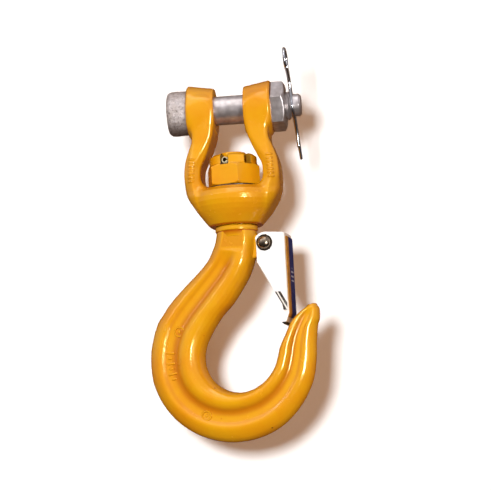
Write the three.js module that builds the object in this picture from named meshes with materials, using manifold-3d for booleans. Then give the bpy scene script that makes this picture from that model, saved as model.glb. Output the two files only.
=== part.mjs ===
// Swivel hook with a clevis jaw: a forged jaw turns on a ball thrust bearing over a forged hook,
// which a sprung latch closes. Millimetres, +Z up. The origin is the middle of the clevis bolt's
// axis, +X runs along the bolt towards its nut, and the hook opens towards +X.
import * as THREE from "three";
import { mergeVertices } from "three/addons/utils/BufferGeometryUtils.js";
import Module from "manifold-3d";

const wasm = await Module();
wasm.setup();

// ---- Driving dimensions ----
const GAP = 0.3; // left between pieces that rest on each other
const DEGREE = Math.PI / 180;

const BOLT_R = 9.9;
const JAW_GAP = 20; // between the two ears, where the lug of the mating part goes
const EAR_THICKNESS = 18.7;
const EAR_OUTER_R = 18.4; // the ear tapers towards the gap, as forged
const EAR_INNER_R = 15.2;
const EAR_BORE_R = 10.4;
const EAR_OUTER_X = JAW_GAP / 2 + EAR_THICKNESS;

const BELL_TOP = -54.9;
const BELL_BOTTOM = -81;
const SHANK_R = 12.5; // guided in the bell
const THREAD_R = 10; // M20 from the bearing up to the castle nut
const COLLAR_R = 13.7;
const COLLAR_BOTTOM = BELL_BOTTOM - 3.5;

const POCKET_R = 18.3;
const POCKET_FLOOR = -66;
const SHANK_SHOULDER = POCKET_FLOOR - 0.6;
const RACE_OUTER_R = 18;
const RACE_BORE_R = 10.6;
const RACE_THICKNESS = 3.6;
const BALL_R = 2.6;
const BALL_CIRCLE_R = 14.2;
const BALL_COUNT = 12;

const CASTLE_FLATS = 33;
const CASTLE_BOTTOM = -53.5;
const CASTLE_HEX_TOP = -39.3;
const CASTLE_TOP = -32.2;
const CASTLE_TURN = 14.5 * DEGREE; // one corner, from -Y towards +X
const CROWN_R = 16.2;
const SLOT_WIDTH = 4.9;
const ROLL_PIN_R = 2.2;
const ROLL_PIN_LENGTH = 31.4;

const HOOK_TURN = -7 * DEGREE; // at rest the hook hangs turned this far about Z on its swivel
const BOWL = new THREE.Vector2(0, -168); // centre of the hook's bowl, in X and Z

const PIVOT = new THREE.Vector2(21.6, -95.1); // latch pin
const LATCH_HALF_WIDTH = 12;
const TONGUE_HALF_WIDTH = 10.4;
const LATCH_SHEET = 2;
const LATCH_PIN_R = 2.6;
const LUG_HALF_WIDTH = 4.8;
const LUG_R = 6.3;
const SPINE_X = 35.5; // outer face of the latch's back

const CLIP_X = 43.2;
const CLIP_WIRE_R = 1;
const CLIP_LEAN = 24 * DEGREE; // the eye leans this far from +Z towards -Y
const CLIP_TILT = 3.5 * DEGREE; // and this far towards the nut, as the hole's play lets it

// ---- Colours ----
const paint = new THREE.MeshStandardMaterial({ color: 0xee9b16, roughness: 0.35, metalness: 0 });
const white = new THREE.MeshStandardMaterial({ color: 0xf4f4f2, roughness: 0.4, metalness: 0 });
const zinc = new THREE.MeshStandardMaterial({ color: 0xa9a4a0, roughness: 0.5, metalness: 1 });
const wire = new THREE.MeshStandardMaterial({ color: 0xc9c9cc, roughness: 0.2, metalness: 1 });
const bearing = new THREE.MeshStandardMaterial({ color: 0xb8bcc2, roughness: 0.15, metalness: 1 });
const brass = new THREE.MeshStandardMaterial({ color: 0xb58c3c, roughness: 0.35, metalness: 1 });
const sticker = new THREE.MeshStandardMaterial({ color: 0x27356e, roughness: 0.35, metalness: 0 });

const group = new THREE.Group();
const hookGroup = new THREE.Group(); // the hook with all that its latch needs, turned on the swivel
hookGroup.rotation.z = HOOK_TURN;
group.add(hookGroup);

// ---- Solids ----

// A closed geometry as a manifold-3d solid, whichever way its faces point.
function solid(geometry) {
  const bare = geometry.clone();
  for (const name of Object.keys(bare.attributes)) {
    if (name !== "position") bare.deleteAttribute(name);
  }
  const merged = mergeVertices(bare, 1e-4);
  const faces = new Uint32Array(merged.index.array);
  const make = () =>
    new wasm.Manifold(
      new wasm.Mesh({ numProp: 3, vertProperties: merged.attributes.position.array, triVerts: faces }),
    );
  const made = make();
  if (made.volume() > 0) return made;
  for (let i = 0; i < faces.length; i += 3) [faces[i + 1], faces[i + 2]] = [faces[i + 2], faces[i + 1]];
  return make();
}

// A manifold-3d solid back as a geometry.
function geometryOf(made) {
  const mesh = made.getMesh();
  const geometry = new THREE.BufferGeometry();
  geometry.setAttribute("position", new THREE.BufferAttribute(new Float32Array(mesh.vertProperties), 3));
  geometry.setIndex(new THREE.BufferAttribute(new Uint32Array(mesh.triVerts), 1));
  geometry.computeVertexNormals();
  return geometry;
}

function addPart(name, made, material, parent = group) {
  const mesh = new THREE.Mesh(geometryOf(made), material);
  mesh.name = name;
  parent.add(mesh);
  return mesh;
}

// Turned about Z: the profile is [radius, z] points, from the axis to the axis or closed on itself.
function turned(profile, segments = 32) {
  const points = profile.map(([r, z]) => new THREE.Vector2(r, z));
  return solid(new THREE.LatheGeometry(points, segments).rotateX(Math.PI / 2));
}

// Turned about X: the profile is [radius, x] points.
function turnedAboutX(profile, segments = 32) {
  const points = profile.map(([r, x]) => new THREE.Vector2(r, x));
  return solid(new THREE.LatheGeometry(points, segments).rotateZ(-Math.PI / 2));
}

function ringProfile(inner, outer, low, high) {
  return [[inner, low], [outer, low], [outer, high], [inner, high], [inner, low]];
}

// A rod along Y, Z or X between two ordinates.
function rod(axis, radius, from, to, [a, b] = [0, 0], segments = 24) {
  const geometry = new THREE.CylinderGeometry(radius, radius, to - from, segments);
  geometry.translate(0, (from + to) / 2, 0);
  if (axis === "x") geometry.rotateZ(-Math.PI / 2).translate(0, a, b);
  if (axis === "y") geometry.translate(a, 0, b);
  if (axis === "z") geometry.rotateX(Math.PI / 2).translate(a, b, 0);
  return solid(geometry);
}

// An outline in X and Z made thick along Y.
function plate(shape, from, to, curveSegments = 8) {
  const geometry = new THREE.ExtrudeGeometry(shape, { depth: to - from, bevelEnabled: false, curveSegments });
  geometry.rotateX(Math.PI / 2).translate(0, to, 0);
  return solid(geometry);
}

function outline(points) {
  return new THREE.Shape(points.map(([x, z]) => new THREE.Vector2(x, z)));
}

// A closed skin over rings of points, with a fan at each end.
function loft(rings) {
  const count = rings[0].length;
  const positions = rings.flat().flatMap((p) => [p.x, p.y, p.z]);
  const faces = [];
  for (let i = 0; i + 1 < rings.length; i++) {
    for (let j = 0; j < count; j++) {
      const a = i * count + j;
      const b = i * count + ((j + 1) % count);
      faces.push(a, b, a + count, b, b + count, a + count);
    }
  }
  const last = (rings.length - 1) * count;
  for (let j = 1; j + 1 < count; j++) {
    faces.push(0, j + 1, j);
    faces.push(last, last + j, last + j + 1);
  }
  const geometry = new THREE.BufferGeometry();
  geometry.setAttribute("position", new THREE.Float32BufferAttribute(positions, 3));
  geometry.setIndex(faces);
  return solid(geometry);
}

function hexagon(flats, turn) {
  const radius = flats / Math.sqrt(3);
  const points = [...Array(6).keys()].map((k) => {
    const angle = turn + k * 60 * DEGREE;
    return new THREE.Vector2(radius * Math.cos(angle), radius * Math.sin(angle));
  });
  return new THREE.Shape(points);
}

// ---- Swivel jaw ----

// One ear: a boss that tapers towards the gap.
function ear(side) {
  const inner = (side * JAW_GAP) / 2;
  const outer = side * EAR_OUTER_X;
  const edge = 1.6;
  return turnedAboutX([
    [0, inner],
    [EAR_INNER_R, inner],
    [EAR_OUTER_R, outer - side * edge],
    [EAR_OUTER_R - edge, outer],
    [0, outer],
  ], 36);
}

// One arm: a strap that leaves the bell's flank, bows round the nut and necks in under the ear.
// Each station is the middle of the strap, its thickness and its depth along Y.
function arm(side) {
  const stations = [
    { x: 23.5, z: -66, thick: 9, deep: 36 },
    { x: 25.4, z: -58, thick: 12.8, deep: 43 },
    { x: 26.8, z: -48, thick: 11.2, deep: 38.5 },
    { x: 26.3, z: -39, thick: 11.2, deep: 34.5 },
    { x: 23.3, z: -31.5, thick: 12, deep: 32 },
    { x: 20.4, z: -24.5, thick: 12.6, deep: 31 },
    { x: 18.8, z: -17, thick: 15, deep: 31.5 },
    { x: 18.8, z: -10, thick: 16.8, deep: 32.5 },
    { x: 19, z: -2, thick: 17.4, deep: 33 },
  ];
  const path = new THREE.CatmullRomCurve3(stations.map((s) => new THREE.Vector3(s.x, 0, s.z)));
  const sizes = new THREE.CatmullRomCurve3(stations.map((s) => new THREE.Vector3(s.thick, s.deep, 0)));
  const steps = 18;
  const sides = 16;
  const rings = [];
  for (let i = 0; i <= steps; i++) {
    const t = i / steps;
    const middle = path.getPoint(t);
    const along = path.getTangent(t);
    const across = new THREE.Vector3(along.z, 0, -along.x);
    const size = sizes.getPoint(t);
    const ring = [];
    for (let j = 0; j < sides; j++) {
      const angle = (j / sides) * 2 * Math.PI;
      const c = Math.cos(angle);
      const s = Math.sin(angle);
      const u = Math.sign(c) * Math.abs(c) ** 0.5 * (size.x / 2);
      const v = Math.sign(s) * Math.abs(s) ** 0.5 * (size.y / 2);
      ring.push(new THREE.Vector3(side * (middle.x + across.x * u), v, middle.z + across.z * u));
    }
    rings.push(ring);
  }
  return loft(rings);
}

function swivelJaw() {
  const bell = turned([
    [0, BELL_TOP],
    [27.5, BELL_TOP],
    [30.3, BELL_TOP - 1],
    [31.6, BELL_TOP - 3.2],
    [31.5, BELL_TOP - 6.2],
    [30.1, BELL_TOP - 9.4],
    [27.4, BELL_TOP - 13.2],
    [24.4, BELL_TOP - 17.6],
    [21.9, BELL_TOP - 21.8],
    [19.7, BELL_TOP - 24.8],
    [17.3, BELL_BOTTOM],
    [0, BELL_BOTTOM],
  ], 40);
  const half = JAW_GAP / 2;
  const jawGap = plate(outline([[-half, -16], [half, -16], [half, 30], [-half, 30]]), -40, 40);
  return bell
    .add(arm(-1))
    .add(arm(1))
    .add(ear(-1))
    .add(ear(1))
    .subtract(jawGap)
    .subtract(turned([[0, BELL_TOP], [20.6, BELL_TOP], [20.2, -37], [0, -28]], 36))
    .subtract(rod("x", EAR_BORE_R, -40, 40, [0, 0], 32))
    .subtract(rod("z", POCKET_R, POCKET_FLOOR, BELL_TOP + 5, [0, 0], 32))
    .subtract(rod("z", SHANK_R + GAP, BELL_BOTTOM - 5, POCKET_FLOOR + 5, [0, 0], 32));
}

// ---- Clevis bolt, its nut and spring clip ----

const BOLT_HEAD_R = 15.3;
const BOLT_HEAD_THICKNESS = 13.6;
const NUT_THICKNESS = 9.2;
const PILOT_R = 7.7;
const PILOT_START = CLIP_X - CLIP_WIRE_R - 0.9;
const BOLT_END = 48.8;

function clipHole() {
  const hole = new THREE.CylinderGeometry(CLIP_WIRE_R + 0.4, CLIP_WIRE_R + 0.4, 40, 16);
  hole.rotateX(Math.PI / 2).rotateY(-CLIP_TILT / 2).rotateX(CLIP_LEAN).translate(CLIP_X, 0, 0);
  return solid(hole);
}

function clevisBolt() {
  const face = -EAR_OUTER_X - GAP;
  const end = face - BOLT_HEAD_THICKNESS;
  return turnedAboutX([
    [0, end],
    [BOLT_HEAD_R - 3.4, end],
    [BOLT_HEAD_R - 1.2, end + 0.9],
    [BOLT_HEAD_R, end + 3],
    [BOLT_HEAD_R, face - 0.6],
    [BOLT_HEAD_R - 0.6, face],
    [BOLT_R, face],
    [BOLT_R, PILOT_START - 1],
    [BOLT_R - 1, PILOT_START],
    [PILOT_R, PILOT_START],
    [PILOT_R, BOLT_END - 1.3],
    [PILOT_R - 1.3, BOLT_END],
    [0, BOLT_END],
  ]).subtract(clipHole());
}

// A hexagon nut about X whose corners are chamfered on one side.
function boltNut() {
  const start = EAR_OUTER_X + GAP;
  const blank = new THREE.ExtrudeGeometry(hexagon(30, 17.5 * DEGREE), {
    depth: NUT_THICKNESS,
    bevelEnabled: false,
  });
  blank.rotateY(Math.PI / 2).translate(start, 0, 0);
  const envelope = turnedAboutX([
    [0, start],
    [16.9, start],
    [18, start + 0.8],
    [18, start + NUT_THICKNESS - 1.9],
    [14.6, start + NUT_THICKNESS],
    [0, start + NUT_THICKNESS],
  ]);
  return solid(blank).intersect(envelope).subtract(rod("x", BOLT_R + GAP, 20, 60, [0, 0], 32));
}

// The spring clip's wire: a straight leg through the bolt, an eye, and a leg that hugs the bolt.
// Points are [along the straight leg, away from it towards the front], before the clip leans.
function springClip() {
  const hug = PILOT_R + CLIP_WIRE_R + 0.6;
  const eyeAlong = 33.4;
  const eyeAway = 4.2;
  const eyeR = 7.1;
  const points = [[-37.5, 0], [-22, 0], [-8, 0], [8, 0], [18, 0]];
  for (let angle = -140; angle <= 140; angle += 28) {
    const turn = angle * DEGREE;
    points.push([eyeAlong + eyeR * Math.cos(turn), eyeAway + eyeR * Math.sin(turn)]);
  }
  points.push([19.5, 3.6], [14.5, 4]);
  for (const angle of [42, 14, -14, -42]) {
    points.push([hug * Math.sin(angle * DEGREE), hug * Math.cos(angle * DEGREE)]);
  }
  points.push([-13.5, 3.8], [-19, 3.5], [-27.5, 5.6]);
  const turn = new THREE.Euler(CLIP_LEAN, -CLIP_TILT, 0);
  const middle = new THREE.Vector3(CLIP_X, 0, 0);
  const places = points.map(([along, away]) => new THREE.Vector3(0, -away, along).applyEuler(turn).add(middle));
  const path = new THREE.CatmullRomCurve3(places, false, "centripetal");
  const section = new THREE.Shape().absarc(0, 0, CLIP_WIRE_R, 0, 2 * Math.PI);
  return solid(
    new THREE.ExtrudeGeometry(section, { steps: 58, curveSegments: 4, extrudePath: path, bevelEnabled: false }),
  );
}

// ---- Castle nut and its roll pin ----

const ROLL_PIN_Z = CASTLE_HEX_TOP + ROLL_PIN_R + GAP;
const slotTurn = CASTLE_TURN - 30 * DEGREE; // a slot faces each flat

function castleNut() {
  const height = CASTLE_HEX_TOP - CASTLE_BOTTOM;
  const blank = new THREE.ExtrudeGeometry(hexagon(CASTLE_FLATS, CASTLE_TURN - 90 * DEGREE), {
    depth: height,
    bevelEnabled: false,
  });
  blank.translate(0, 0, CASTLE_BOTTOM);
  const envelope = turned([
    [0, CASTLE_BOTTOM],
    [17, CASTLE_BOTTOM],
    [19.6, CASTLE_BOTTOM + 1.5],
    [19.6, CASTLE_HEX_TOP - 2.3],
    [CROWN_R + 0.7, CASTLE_HEX_TOP],
    [0, CASTLE_HEX_TOP],
  ]);
  const crown = turned([
    [0, CASTLE_HEX_TOP - 1],
    [CROWN_R, CASTLE_HEX_TOP - 1],
    [CROWN_R, CASTLE_TOP - 1.6],
    [CROWN_R - 1.8, CASTLE_TOP],
    [0, CASTLE_TOP],
  ]);
  let nut = solid(blank).intersect(envelope).add(crown);
  for (let k = 0; k < 3; k++) {
    const slot = new THREE.BoxGeometry(SLOT_WIDTH, 60, 20);
    slot.translate(0, 0, CASTLE_HEX_TOP + 10).rotateZ(slotTurn + k * 60 * DEGREE);
    nut = nut.subtract(solid(slot));
  }
  return nut.subtract(rod("z", THREAD_R + GAP, -60, -20, [0, 0], 32));
}

function rollPin() {
  const wall = 0.9;
  const slit = 16 * DEGREE;
  const shape = new THREE.Shape();
  shape.absarc(0, 0, ROLL_PIN_R, slit, 2 * Math.PI - slit);
  shape.absarc(0, 0, ROLL_PIN_R - wall, 2 * Math.PI - slit, slit, true);
  const geometry = new THREE.ExtrudeGeometry(shape, {
    depth: ROLL_PIN_LENGTH,
    curveSegments: 12,
    bevelEnabled: false,
  });
  geometry.translate(0, 0, -ROLL_PIN_LENGTH / 2).rotateX(Math.PI / 2).rotateZ(slotTurn);
  geometry.translate(0, 0, ROLL_PIN_Z);
  return solid(geometry);
}

// ---- Thrust bearing ----

const LOWER_RACE = POCKET_FLOOR + GAP;
const BALL_Z = (LOWER_RACE + CASTLE_BOTTOM - GAP) / 2;
const UPPER_RACE = CASTLE_BOTTOM - GAP - RACE_THICKNESS;

// A washer with a ball track in one face.
function race(bottom) {
  return turned(ringProfile(RACE_BORE_R, RACE_OUTER_R, bottom, bottom + RACE_THICKNESS), 32).subtract(track());
}

function track() {
  const ring = new THREE.TorusGeometry(BALL_CIRCLE_R, BALL_R + 0.25, 12, 32);
  return solid(ring.translate(0, 0, BALL_Z));
}

function ballCage() {
  const half = 1.1;
  const inner = BALL_CIRCLE_R - 3.4;
  const outer = BALL_CIRCLE_R + 3.4;
  let cage = turned(ringProfile(inner, outer, BALL_Z - half, BALL_Z + half), 32);
  for (let k = 0; k < BALL_COUNT; k++) {
    cage = cage.subtract(rod("z", BALL_R + 0.2, BALL_Z - 4, BALL_Z + 4, ballPlace(k), 12));
  }
  return cage;
}

function ballPlace(k) {
  const angle = (k / BALL_COUNT) * 2 * Math.PI;
  return [BALL_CIRCLE_R * Math.cos(angle), BALL_CIRCLE_R * Math.sin(angle)];
}

function bearingBall(k) {
  const [x, y] = ballPlace(k);
  return solid(new THREE.SphereGeometry(BALL_R, 10, 6).translate(x, y, BALL_Z));
}

// ---- Hook ----

// The hook's outline as matching points of its inner and its outer side, in X and Z, down the
// shank, with half the thickness there.
const SHANK_STATIONS = [
  { inner: [13.7, -84.6], outer: [-13.7, -84.6], half: 13.7 },
  { inner: [13.9, -90], outer: [-14.4, -89], half: 13.7 },
  { inner: [13.3, -97], outer: [-16.8, -95.6], half: 13.4 },
  { inner: [11.5, -105.5], outer: [-21.4, -103.6], half: 13 },
  { inner: [7.7, -115], outer: [-29, -111.4], half: 12.6 },
  { inner: [1.8, -124.4], outer: [-38.8, -120.2], half: 12.4 },
  { inner: [-5, -133.4], outer: [-48.8, -130.1], half: 12.4 },
  { inner: [-13.9, -142.6], outer: [-56, -139.6], half: 12.6 },
];
// Round the bowl: the angle from +X, the inner and outer radius and half the thickness.
const BOWL_STATIONS = [
  [157, 25.8, 63.5, 12.9],
  [175, 26.3, 64.3, 13.2],
  [195, 26.8, 65.2, 13.4],
  [215, 26.9, 64.4, 13.5],
  [235, 26.6, 62.4, 13.5],
  [255, 26.1, 60.2, 13.3],
  [275, 25.4, 57.9, 13],
  [295, 24.7, 55.8, 12.6],
  [315, 24.4, 53.4, 12],
  [335, 24.5, 51.9, 11.4],
  [352, 24.9, 50.8, 10.9],
  [366, 26.6, 51.6, 10.6],
  [378, 31.6, 55.6, 10],
];
const POINT_STATIONS = [
  { inner: [34.4, -149.4], outer: [53.9, -148.6], half: 9 },
  { inner: [38.3, -145], outer: [54.4, -144], half: 8.2 },
  { inner: [42.4, -141.4], outer: [54.1, -140.6], half: 7 },
  { inner: [45.4, -139.3], outer: [52.6, -138.3], half: 5 },
];

// Half the thickness across the section, from the inner side (0) to the outer side (1): a rounded
// bead inside, a flat web, a low rib and a rounded rim.
const SECTION = [
  [0, 0], [0.015, 0.3], [0.05, 0.56], [0.11, 0.79], [0.19, 0.95], [0.28, 1], [0.37, 0.95], [0.46, 0.82],
  [0.54, 0.74], [0.7, 0.73], [0.76, 0.79], [0.81, 0.8], [0.88, 0.71], [0.94, 0.53], [0.985, 0.27], [1, 0],
];

function hookStations() {
  const round = BOWL_STATIONS.map(([angle, innerR, outerR, half]) => {
    const c = Math.cos(angle * DEGREE);
    const s = Math.sin(angle * DEGREE);
    return {
      inner: [BOWL.x + innerR * c, BOWL.y + innerR * s],
      outer: [BOWL.x + outerR * c, BOWL.y + outerR * s],
      half,
    };
  });
  return [...SHANK_STATIONS, ...round, ...POINT_STATIONS];
}

function hookBody() {
  const stations = hookStations();
  const curve = (pick) => new THREE.CatmullRomCurve3(stations.map(pick), false, "centripetal");
  const inner = curve((s) => new THREE.Vector3(s.inner[0], 0, s.inner[1]));
  const outer = curve((s) => new THREE.Vector3(s.outer[0], 0, s.outer[1]));
  const halves = new THREE.CatmullRomCurve3(stations.map((s) => new THREE.Vector3(s.half, 0, 0)));
  const steps = 42;
  const rings = [];
  for (let i = 0; i <= steps; i++) {
    const t = i / steps;
    const a = inner.getPoint(t);
    const b = outer.getPoint(t);
    const half = halves.getPoint(t).x;
    // Round at the neck, beaded and webbed further down, and full again near the point.
    const webbed = THREE.MathUtils.smoothstep(t, 0.02, 0.2) * (1 - THREE.MathUtils.smoothstep(t, 0.84, 0.97));
    const heights = SECTION.map(([u, h]) => {
      const full = 2 * Math.sqrt(u * (1 - u));
      return half * THREE.MathUtils.lerp(full, h, webbed);
    });
    const front = SECTION.map(([u], k) => a.clone().lerp(b, u).setY(-heights[k]));
    const back = SECTION.map(([u], k) => a.clone().lerp(b, u).setY(heights[k]));
    rings.push([...front, ...back.slice(1, -1).reverse()]);
  }
  return loft(rings);
}

function hook() {
  const spindle = turned([
    [0, COLLAR_BOTTOM - 4],
    [COLLAR_R - 1.5, COLLAR_BOTTOM - 4],
    [COLLAR_R, COLLAR_BOTTOM + 0.3],
    [COLLAR_R, BELL_BOTTOM - GAP],
    [SHANK_R, BELL_BOTTOM - GAP],
    [SHANK_R, SHANK_SHOULDER - 1],
    [SHANK_R - 1, SHANK_SHOULDER],
    [THREAD_R, SHANK_SHOULDER],
    [THREAD_R, CASTLE_TOP + 0.3],
    [THREAD_R - 1.5, CASTLE_TOP + 1.8],
    [0, CASTLE_TOP + 1.8],
  ]);
  const lug = new THREE.Shape();
  lug.moveTo(4, -87);
  lug.lineTo(PIVOT.x + 1, PIVOT.y + LUG_R);
  lug.absarc(PIVOT.x, PIVOT.y, LUG_R, 80 * DEGREE, -75 * DEGREE, true);
  lug.lineTo(4, -106);
  lug.closePath();
  const pinHole = rod("y", ROLL_PIN_R + 0.3, -30, 30, [0, 0], 24)
    .rotate([0, 0, (slotTurn - HOOK_TURN) / DEGREE])
    .translate([0, 0, ROLL_PIN_Z]);
  return hookBody()
    .add(spindle)
    .add(plate(lug, -LUG_HALF_WIDTH, LUG_HALF_WIDTH, 10))
    .subtract(pinHole)
    .subtract(rod("y", LATCH_PIN_R + GAP, -40, 40, [PIVOT.x, PIVOT.y], 24));
}

// ---- Latch ----

// A channel of folded sheet: two side plates and a back whose end rests inside the hook's point.
function latch() {
  const spineInner = SPINE_X - LATCH_SHEET;
  const side = new THREE.Shape();
  side.moveTo(15.6, -93.5);
  side.lineTo(15.6, -107.6);
  side.lineTo(31.7, -137.8);
  side.lineTo(32.3, -141.6);
  side.lineTo(SPINE_X, -141.6);
  side.lineTo(SPINE_X, -88.9);
  side.lineTo(PIVOT.x + 1.5, PIVOT.y + 7.4);
  side.absarc(PIVOT.x, PIVOT.y, 7.5, 80 * DEGREE, 150 * DEGREE, false);
  side.closePath();
  const tongue = outline([
    [SPINE_X, -139], [SPINE_X, -143.5], [33.1, -149.6], [31.9, -151], [30.1, -149.6], [31.1, -148.2],
    [spineInner - 0.4, -143], [spineInner - 0.4, -139],
  ]);
  const hollow = outline([[0, -60], [spineInner, -60], [spineInner, -160], [0, -160]]);
  const inside = LATCH_HALF_WIDTH - LATCH_SHEET;
  return plate(side, -LATCH_HALF_WIDTH, LATCH_HALF_WIDTH, 8)
    .subtract(plate(hollow, -inside, inside))
    .add(plate(tongue, -TONGUE_HALF_WIDTH, TONGUE_HALF_WIDTH))
    .subtract(rod("y", LATCH_PIN_R + GAP, -40, 40, [PIVOT.x, PIVOT.y], 24));
}

// A thin sticker on the latch's back.
function latchLabel() {
  const box = new THREE.BoxGeometry(0.5, 20.4, 52);
  box.translate(SPINE_X + 0.1 + 0.25, 0, -117.2);
  return solid(box);
}

// The pin's two heads hold a washer each against the latch's sides.
const WASHER_THICKNESS = 1;
const washerFace = LATCH_HALF_WIDTH + 0.2;
const headFace = washerFace + WASHER_THICKNESS + 0.2;

function latchPin() {
  const geometry = new THREE.LatheGeometry(
    [
      [0, -headFace - 3.1], [1.9, -headFace - 2.8], [3.4, -headFace - 1.9], [4.4, -headFace],
      [LATCH_PIN_R, -headFace], [LATCH_PIN_R, headFace], [4.4, headFace], [3.4, headFace + 1.9],
      [1.9, headFace + 2.8], [0, headFace + 3.1],
    ].map(([r, y]) => new THREE.Vector2(r, y)),
    24,
  );
  return solid(geometry.translate(PIVOT.x, 0, PIVOT.y));
}

function latchWasher(side) {
  const geometry = new THREE.LatheGeometry(
    ringProfile(LATCH_PIN_R + GAP, 5.5, washerFace, washerFace + WASHER_THICKNESS).map(
      ([r, y]) => new THREE.Vector2(r, side * y),
    ),
    24,
  );
  return solid(geometry.translate(PIVOT.x, 0, PIVOT.y));
}

// A torsion spring beside the lug: one leg lies behind the latch's back, the other on the shank.
function latchSpring() {
  const wireR = 0.5;
  const coilR = LATCH_PIN_R + 0.4 + wireR;
  const pitch = 1.08;
  const start = LUG_HALF_WIDTH + GAP + wireR;
  const onLatch = new THREE.Vector2(SPINE_X - LATCH_SHEET - 0.4 - wireR, -117);
  const onShank = new THREE.Vector2(13.4, -105.5);
  const leaves = (end, side) => {
    const away = end.clone().sub(PIVOT);
    return away.angle() + side * Math.acos(coilR / away.length());
  };
  const first = leaves(onLatch, 1) - 2 * Math.PI;
  const last = leaves(onShank, -1) + 4 * Math.PI;
  const places = [new THREE.Vector3(onLatch.x, start, onLatch.y)];
  const count = 40;
  for (let k = 0; k <= count; k++) {
    const angle = THREE.MathUtils.lerp(first, last, k / count);
    const y = start + ((angle - first) / (2 * Math.PI)) * pitch;
    places.push(new THREE.Vector3(PIVOT.x + coilR * Math.cos(angle), y, PIVOT.y + coilR * Math.sin(angle)));
  }
  places.push(new THREE.Vector3(onShank.x, places.at(-1).y, onShank.y));
  const path = new THREE.CatmullRomCurve3(places, false, "centripetal");
  const section = new THREE.Shape().absarc(0, 0, wireR, 0, 2 * Math.PI);
  return solid(
    new THREE.ExtrudeGeometry(section, {
      steps: 72,
      curveSegments: 3,
      extrudePath: path,
      bevelEnabled: false,
    }),
  );
}

// ---- The assembly ----

addPart("swivel_jaw", swivelJaw(), paint);
addPart("clevis_bolt", clevisBolt(), zinc);
addPart("bolt_nut", boltNut(), zinc);
addPart("spring_clip", springClip(), wire);
addPart("castle_nut", castleNut(), paint);
addPart("roll_pin", rollPin(), bearing);
addPart("lower_race", race(LOWER_RACE), bearing);
addPart("upper_race", race(UPPER_RACE), bearing);
addPart("ball_cage", ballCage(), brass);
for (let k = 0; k < BALL_COUNT; k++) {
  addPart(`ball_${String(k + 1).padStart(2, "0")}`, bearingBall(k), bearing);
}
addPart("hook", hook(), paint, hookGroup);
addPart("latch", latch(), white, hookGroup);
addPart("latch_label", latchLabel(), sticker, hookGroup);
addPart("latch_pin", latchPin(), zinc, hookGroup);
addPart("latch_washer_front", latchWasher(-1), zinc, hookGroup);
addPart("latch_washer_back", latchWasher(1), zinc, hookGroup);
addPart("latch_spring", latchSpring(), wire, hookGroup);

export default group;
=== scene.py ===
import math

import bmesh
import bpy
import numpy as np
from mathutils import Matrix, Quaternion, Vector, noise


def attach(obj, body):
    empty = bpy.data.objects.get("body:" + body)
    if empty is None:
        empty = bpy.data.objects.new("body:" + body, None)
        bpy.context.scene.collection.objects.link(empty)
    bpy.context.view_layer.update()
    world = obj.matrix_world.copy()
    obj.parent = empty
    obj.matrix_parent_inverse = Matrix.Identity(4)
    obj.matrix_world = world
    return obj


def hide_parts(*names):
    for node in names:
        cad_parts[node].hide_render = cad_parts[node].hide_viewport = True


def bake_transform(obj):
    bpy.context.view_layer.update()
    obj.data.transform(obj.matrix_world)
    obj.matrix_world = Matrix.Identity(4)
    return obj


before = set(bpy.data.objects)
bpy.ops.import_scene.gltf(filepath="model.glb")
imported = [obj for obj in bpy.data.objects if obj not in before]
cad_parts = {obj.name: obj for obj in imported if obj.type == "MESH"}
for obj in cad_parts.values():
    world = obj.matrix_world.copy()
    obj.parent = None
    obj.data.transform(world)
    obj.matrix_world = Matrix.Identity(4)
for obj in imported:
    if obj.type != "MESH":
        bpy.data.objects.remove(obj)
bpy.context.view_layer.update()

# Geometry is worked out in millimetres in the row frame and stored in metres.
MM = 0.001

# ---------------------------------------------------------------- dimensions shared with the CAD
EAR_IN, EAR_OUT = 10.0, 28.7
BELL_TOP = -54.9
POCKET_FLOOR = -66.0
PIVOT = np.array([21.6, -95.1])
SPINE_X = 35.5
LATCH_HALF = 12.0
CLIP_X, WIRE_R = 43.2, 1.0
CLIP_LEAN, CLIP_TILT = math.radians(24), math.radians(3.5)
PILOT_R, PILOT_START, BOLT_END = 7.7, 41.3, 48.8
HEAD_FACE, HEAD_END = -29.0, -42.6
NUT_START, NUT_END = 29.0, 38.2
CASTLE_BOTTOM, HEX_TOP, CASTLE_TOP = -53.5, -39.3, -32.2
CASTLE_TURN = math.radians(14.5)
SLOT_TURN = CASTLE_TURN - math.radians(30)
ROLL_PIN_Z = HEX_TOP + 2.5
HOOK_TURN = math.radians(-7)  # at rest the hook hangs turned this far on its swivel


# ---------------------------------------------------------------- meshes
def mesh_piece(name, verts, faces, material, body, slot, sharp=40, normals=None, turn=0.0, hollow=None):
    """A piece from vertices in millimetres and faces, smooth except at sharp edges, turned about Z."""
    spin = np.array([[math.cos(turn), math.sin(turn), 0], [-math.sin(turn), math.cos(turn), 0], [0, 0, 1]])
    verts = np.asarray(verts, float) @ spin
    mesh = bpy.data.meshes.new(name)
    mesh.from_pydata((verts * MM).tolist(), [], [list(map(int, f)) for f in faces])
    mesh.update()
    bm = bmesh.new()
    bm.from_mesh(mesh)
    bmesh.ops.recalc_face_normals(bm, faces=bm.faces)
    bm.to_mesh(mesh)
    bm.free()
    mesh.shade_smooth()
    if normals is not None:
        mesh.normals_split_custom_set_from_vertices((normals @ spin).tolist())
    elif sharp:
        mesh.set_sharp_from_angle(angle=math.radians(sharp))
    # The hollow attribute carries painted shade, which the paint darkens by.
    if hollow is not None:
        mesh.attributes.new("hollow", "FLOAT", "POINT").data.foreach_set("value", hollow)
    mesh.materials.append(material)
    obj = bpy.data.objects.new(name, mesh)
    bpy.context.scene.collection.objects.link(obj)
    if body:
        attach(obj, body)
    return obj


def join(parts):
    """Several (verts, faces) as one."""
    verts, faces, base = [], [], 0
    for v, f in parts:
        verts.append(np.asarray(v, float))
        faces += [[i + base for i in face] for face in f]
        base += len(v)
    return np.concatenate(verts), faces


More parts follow.
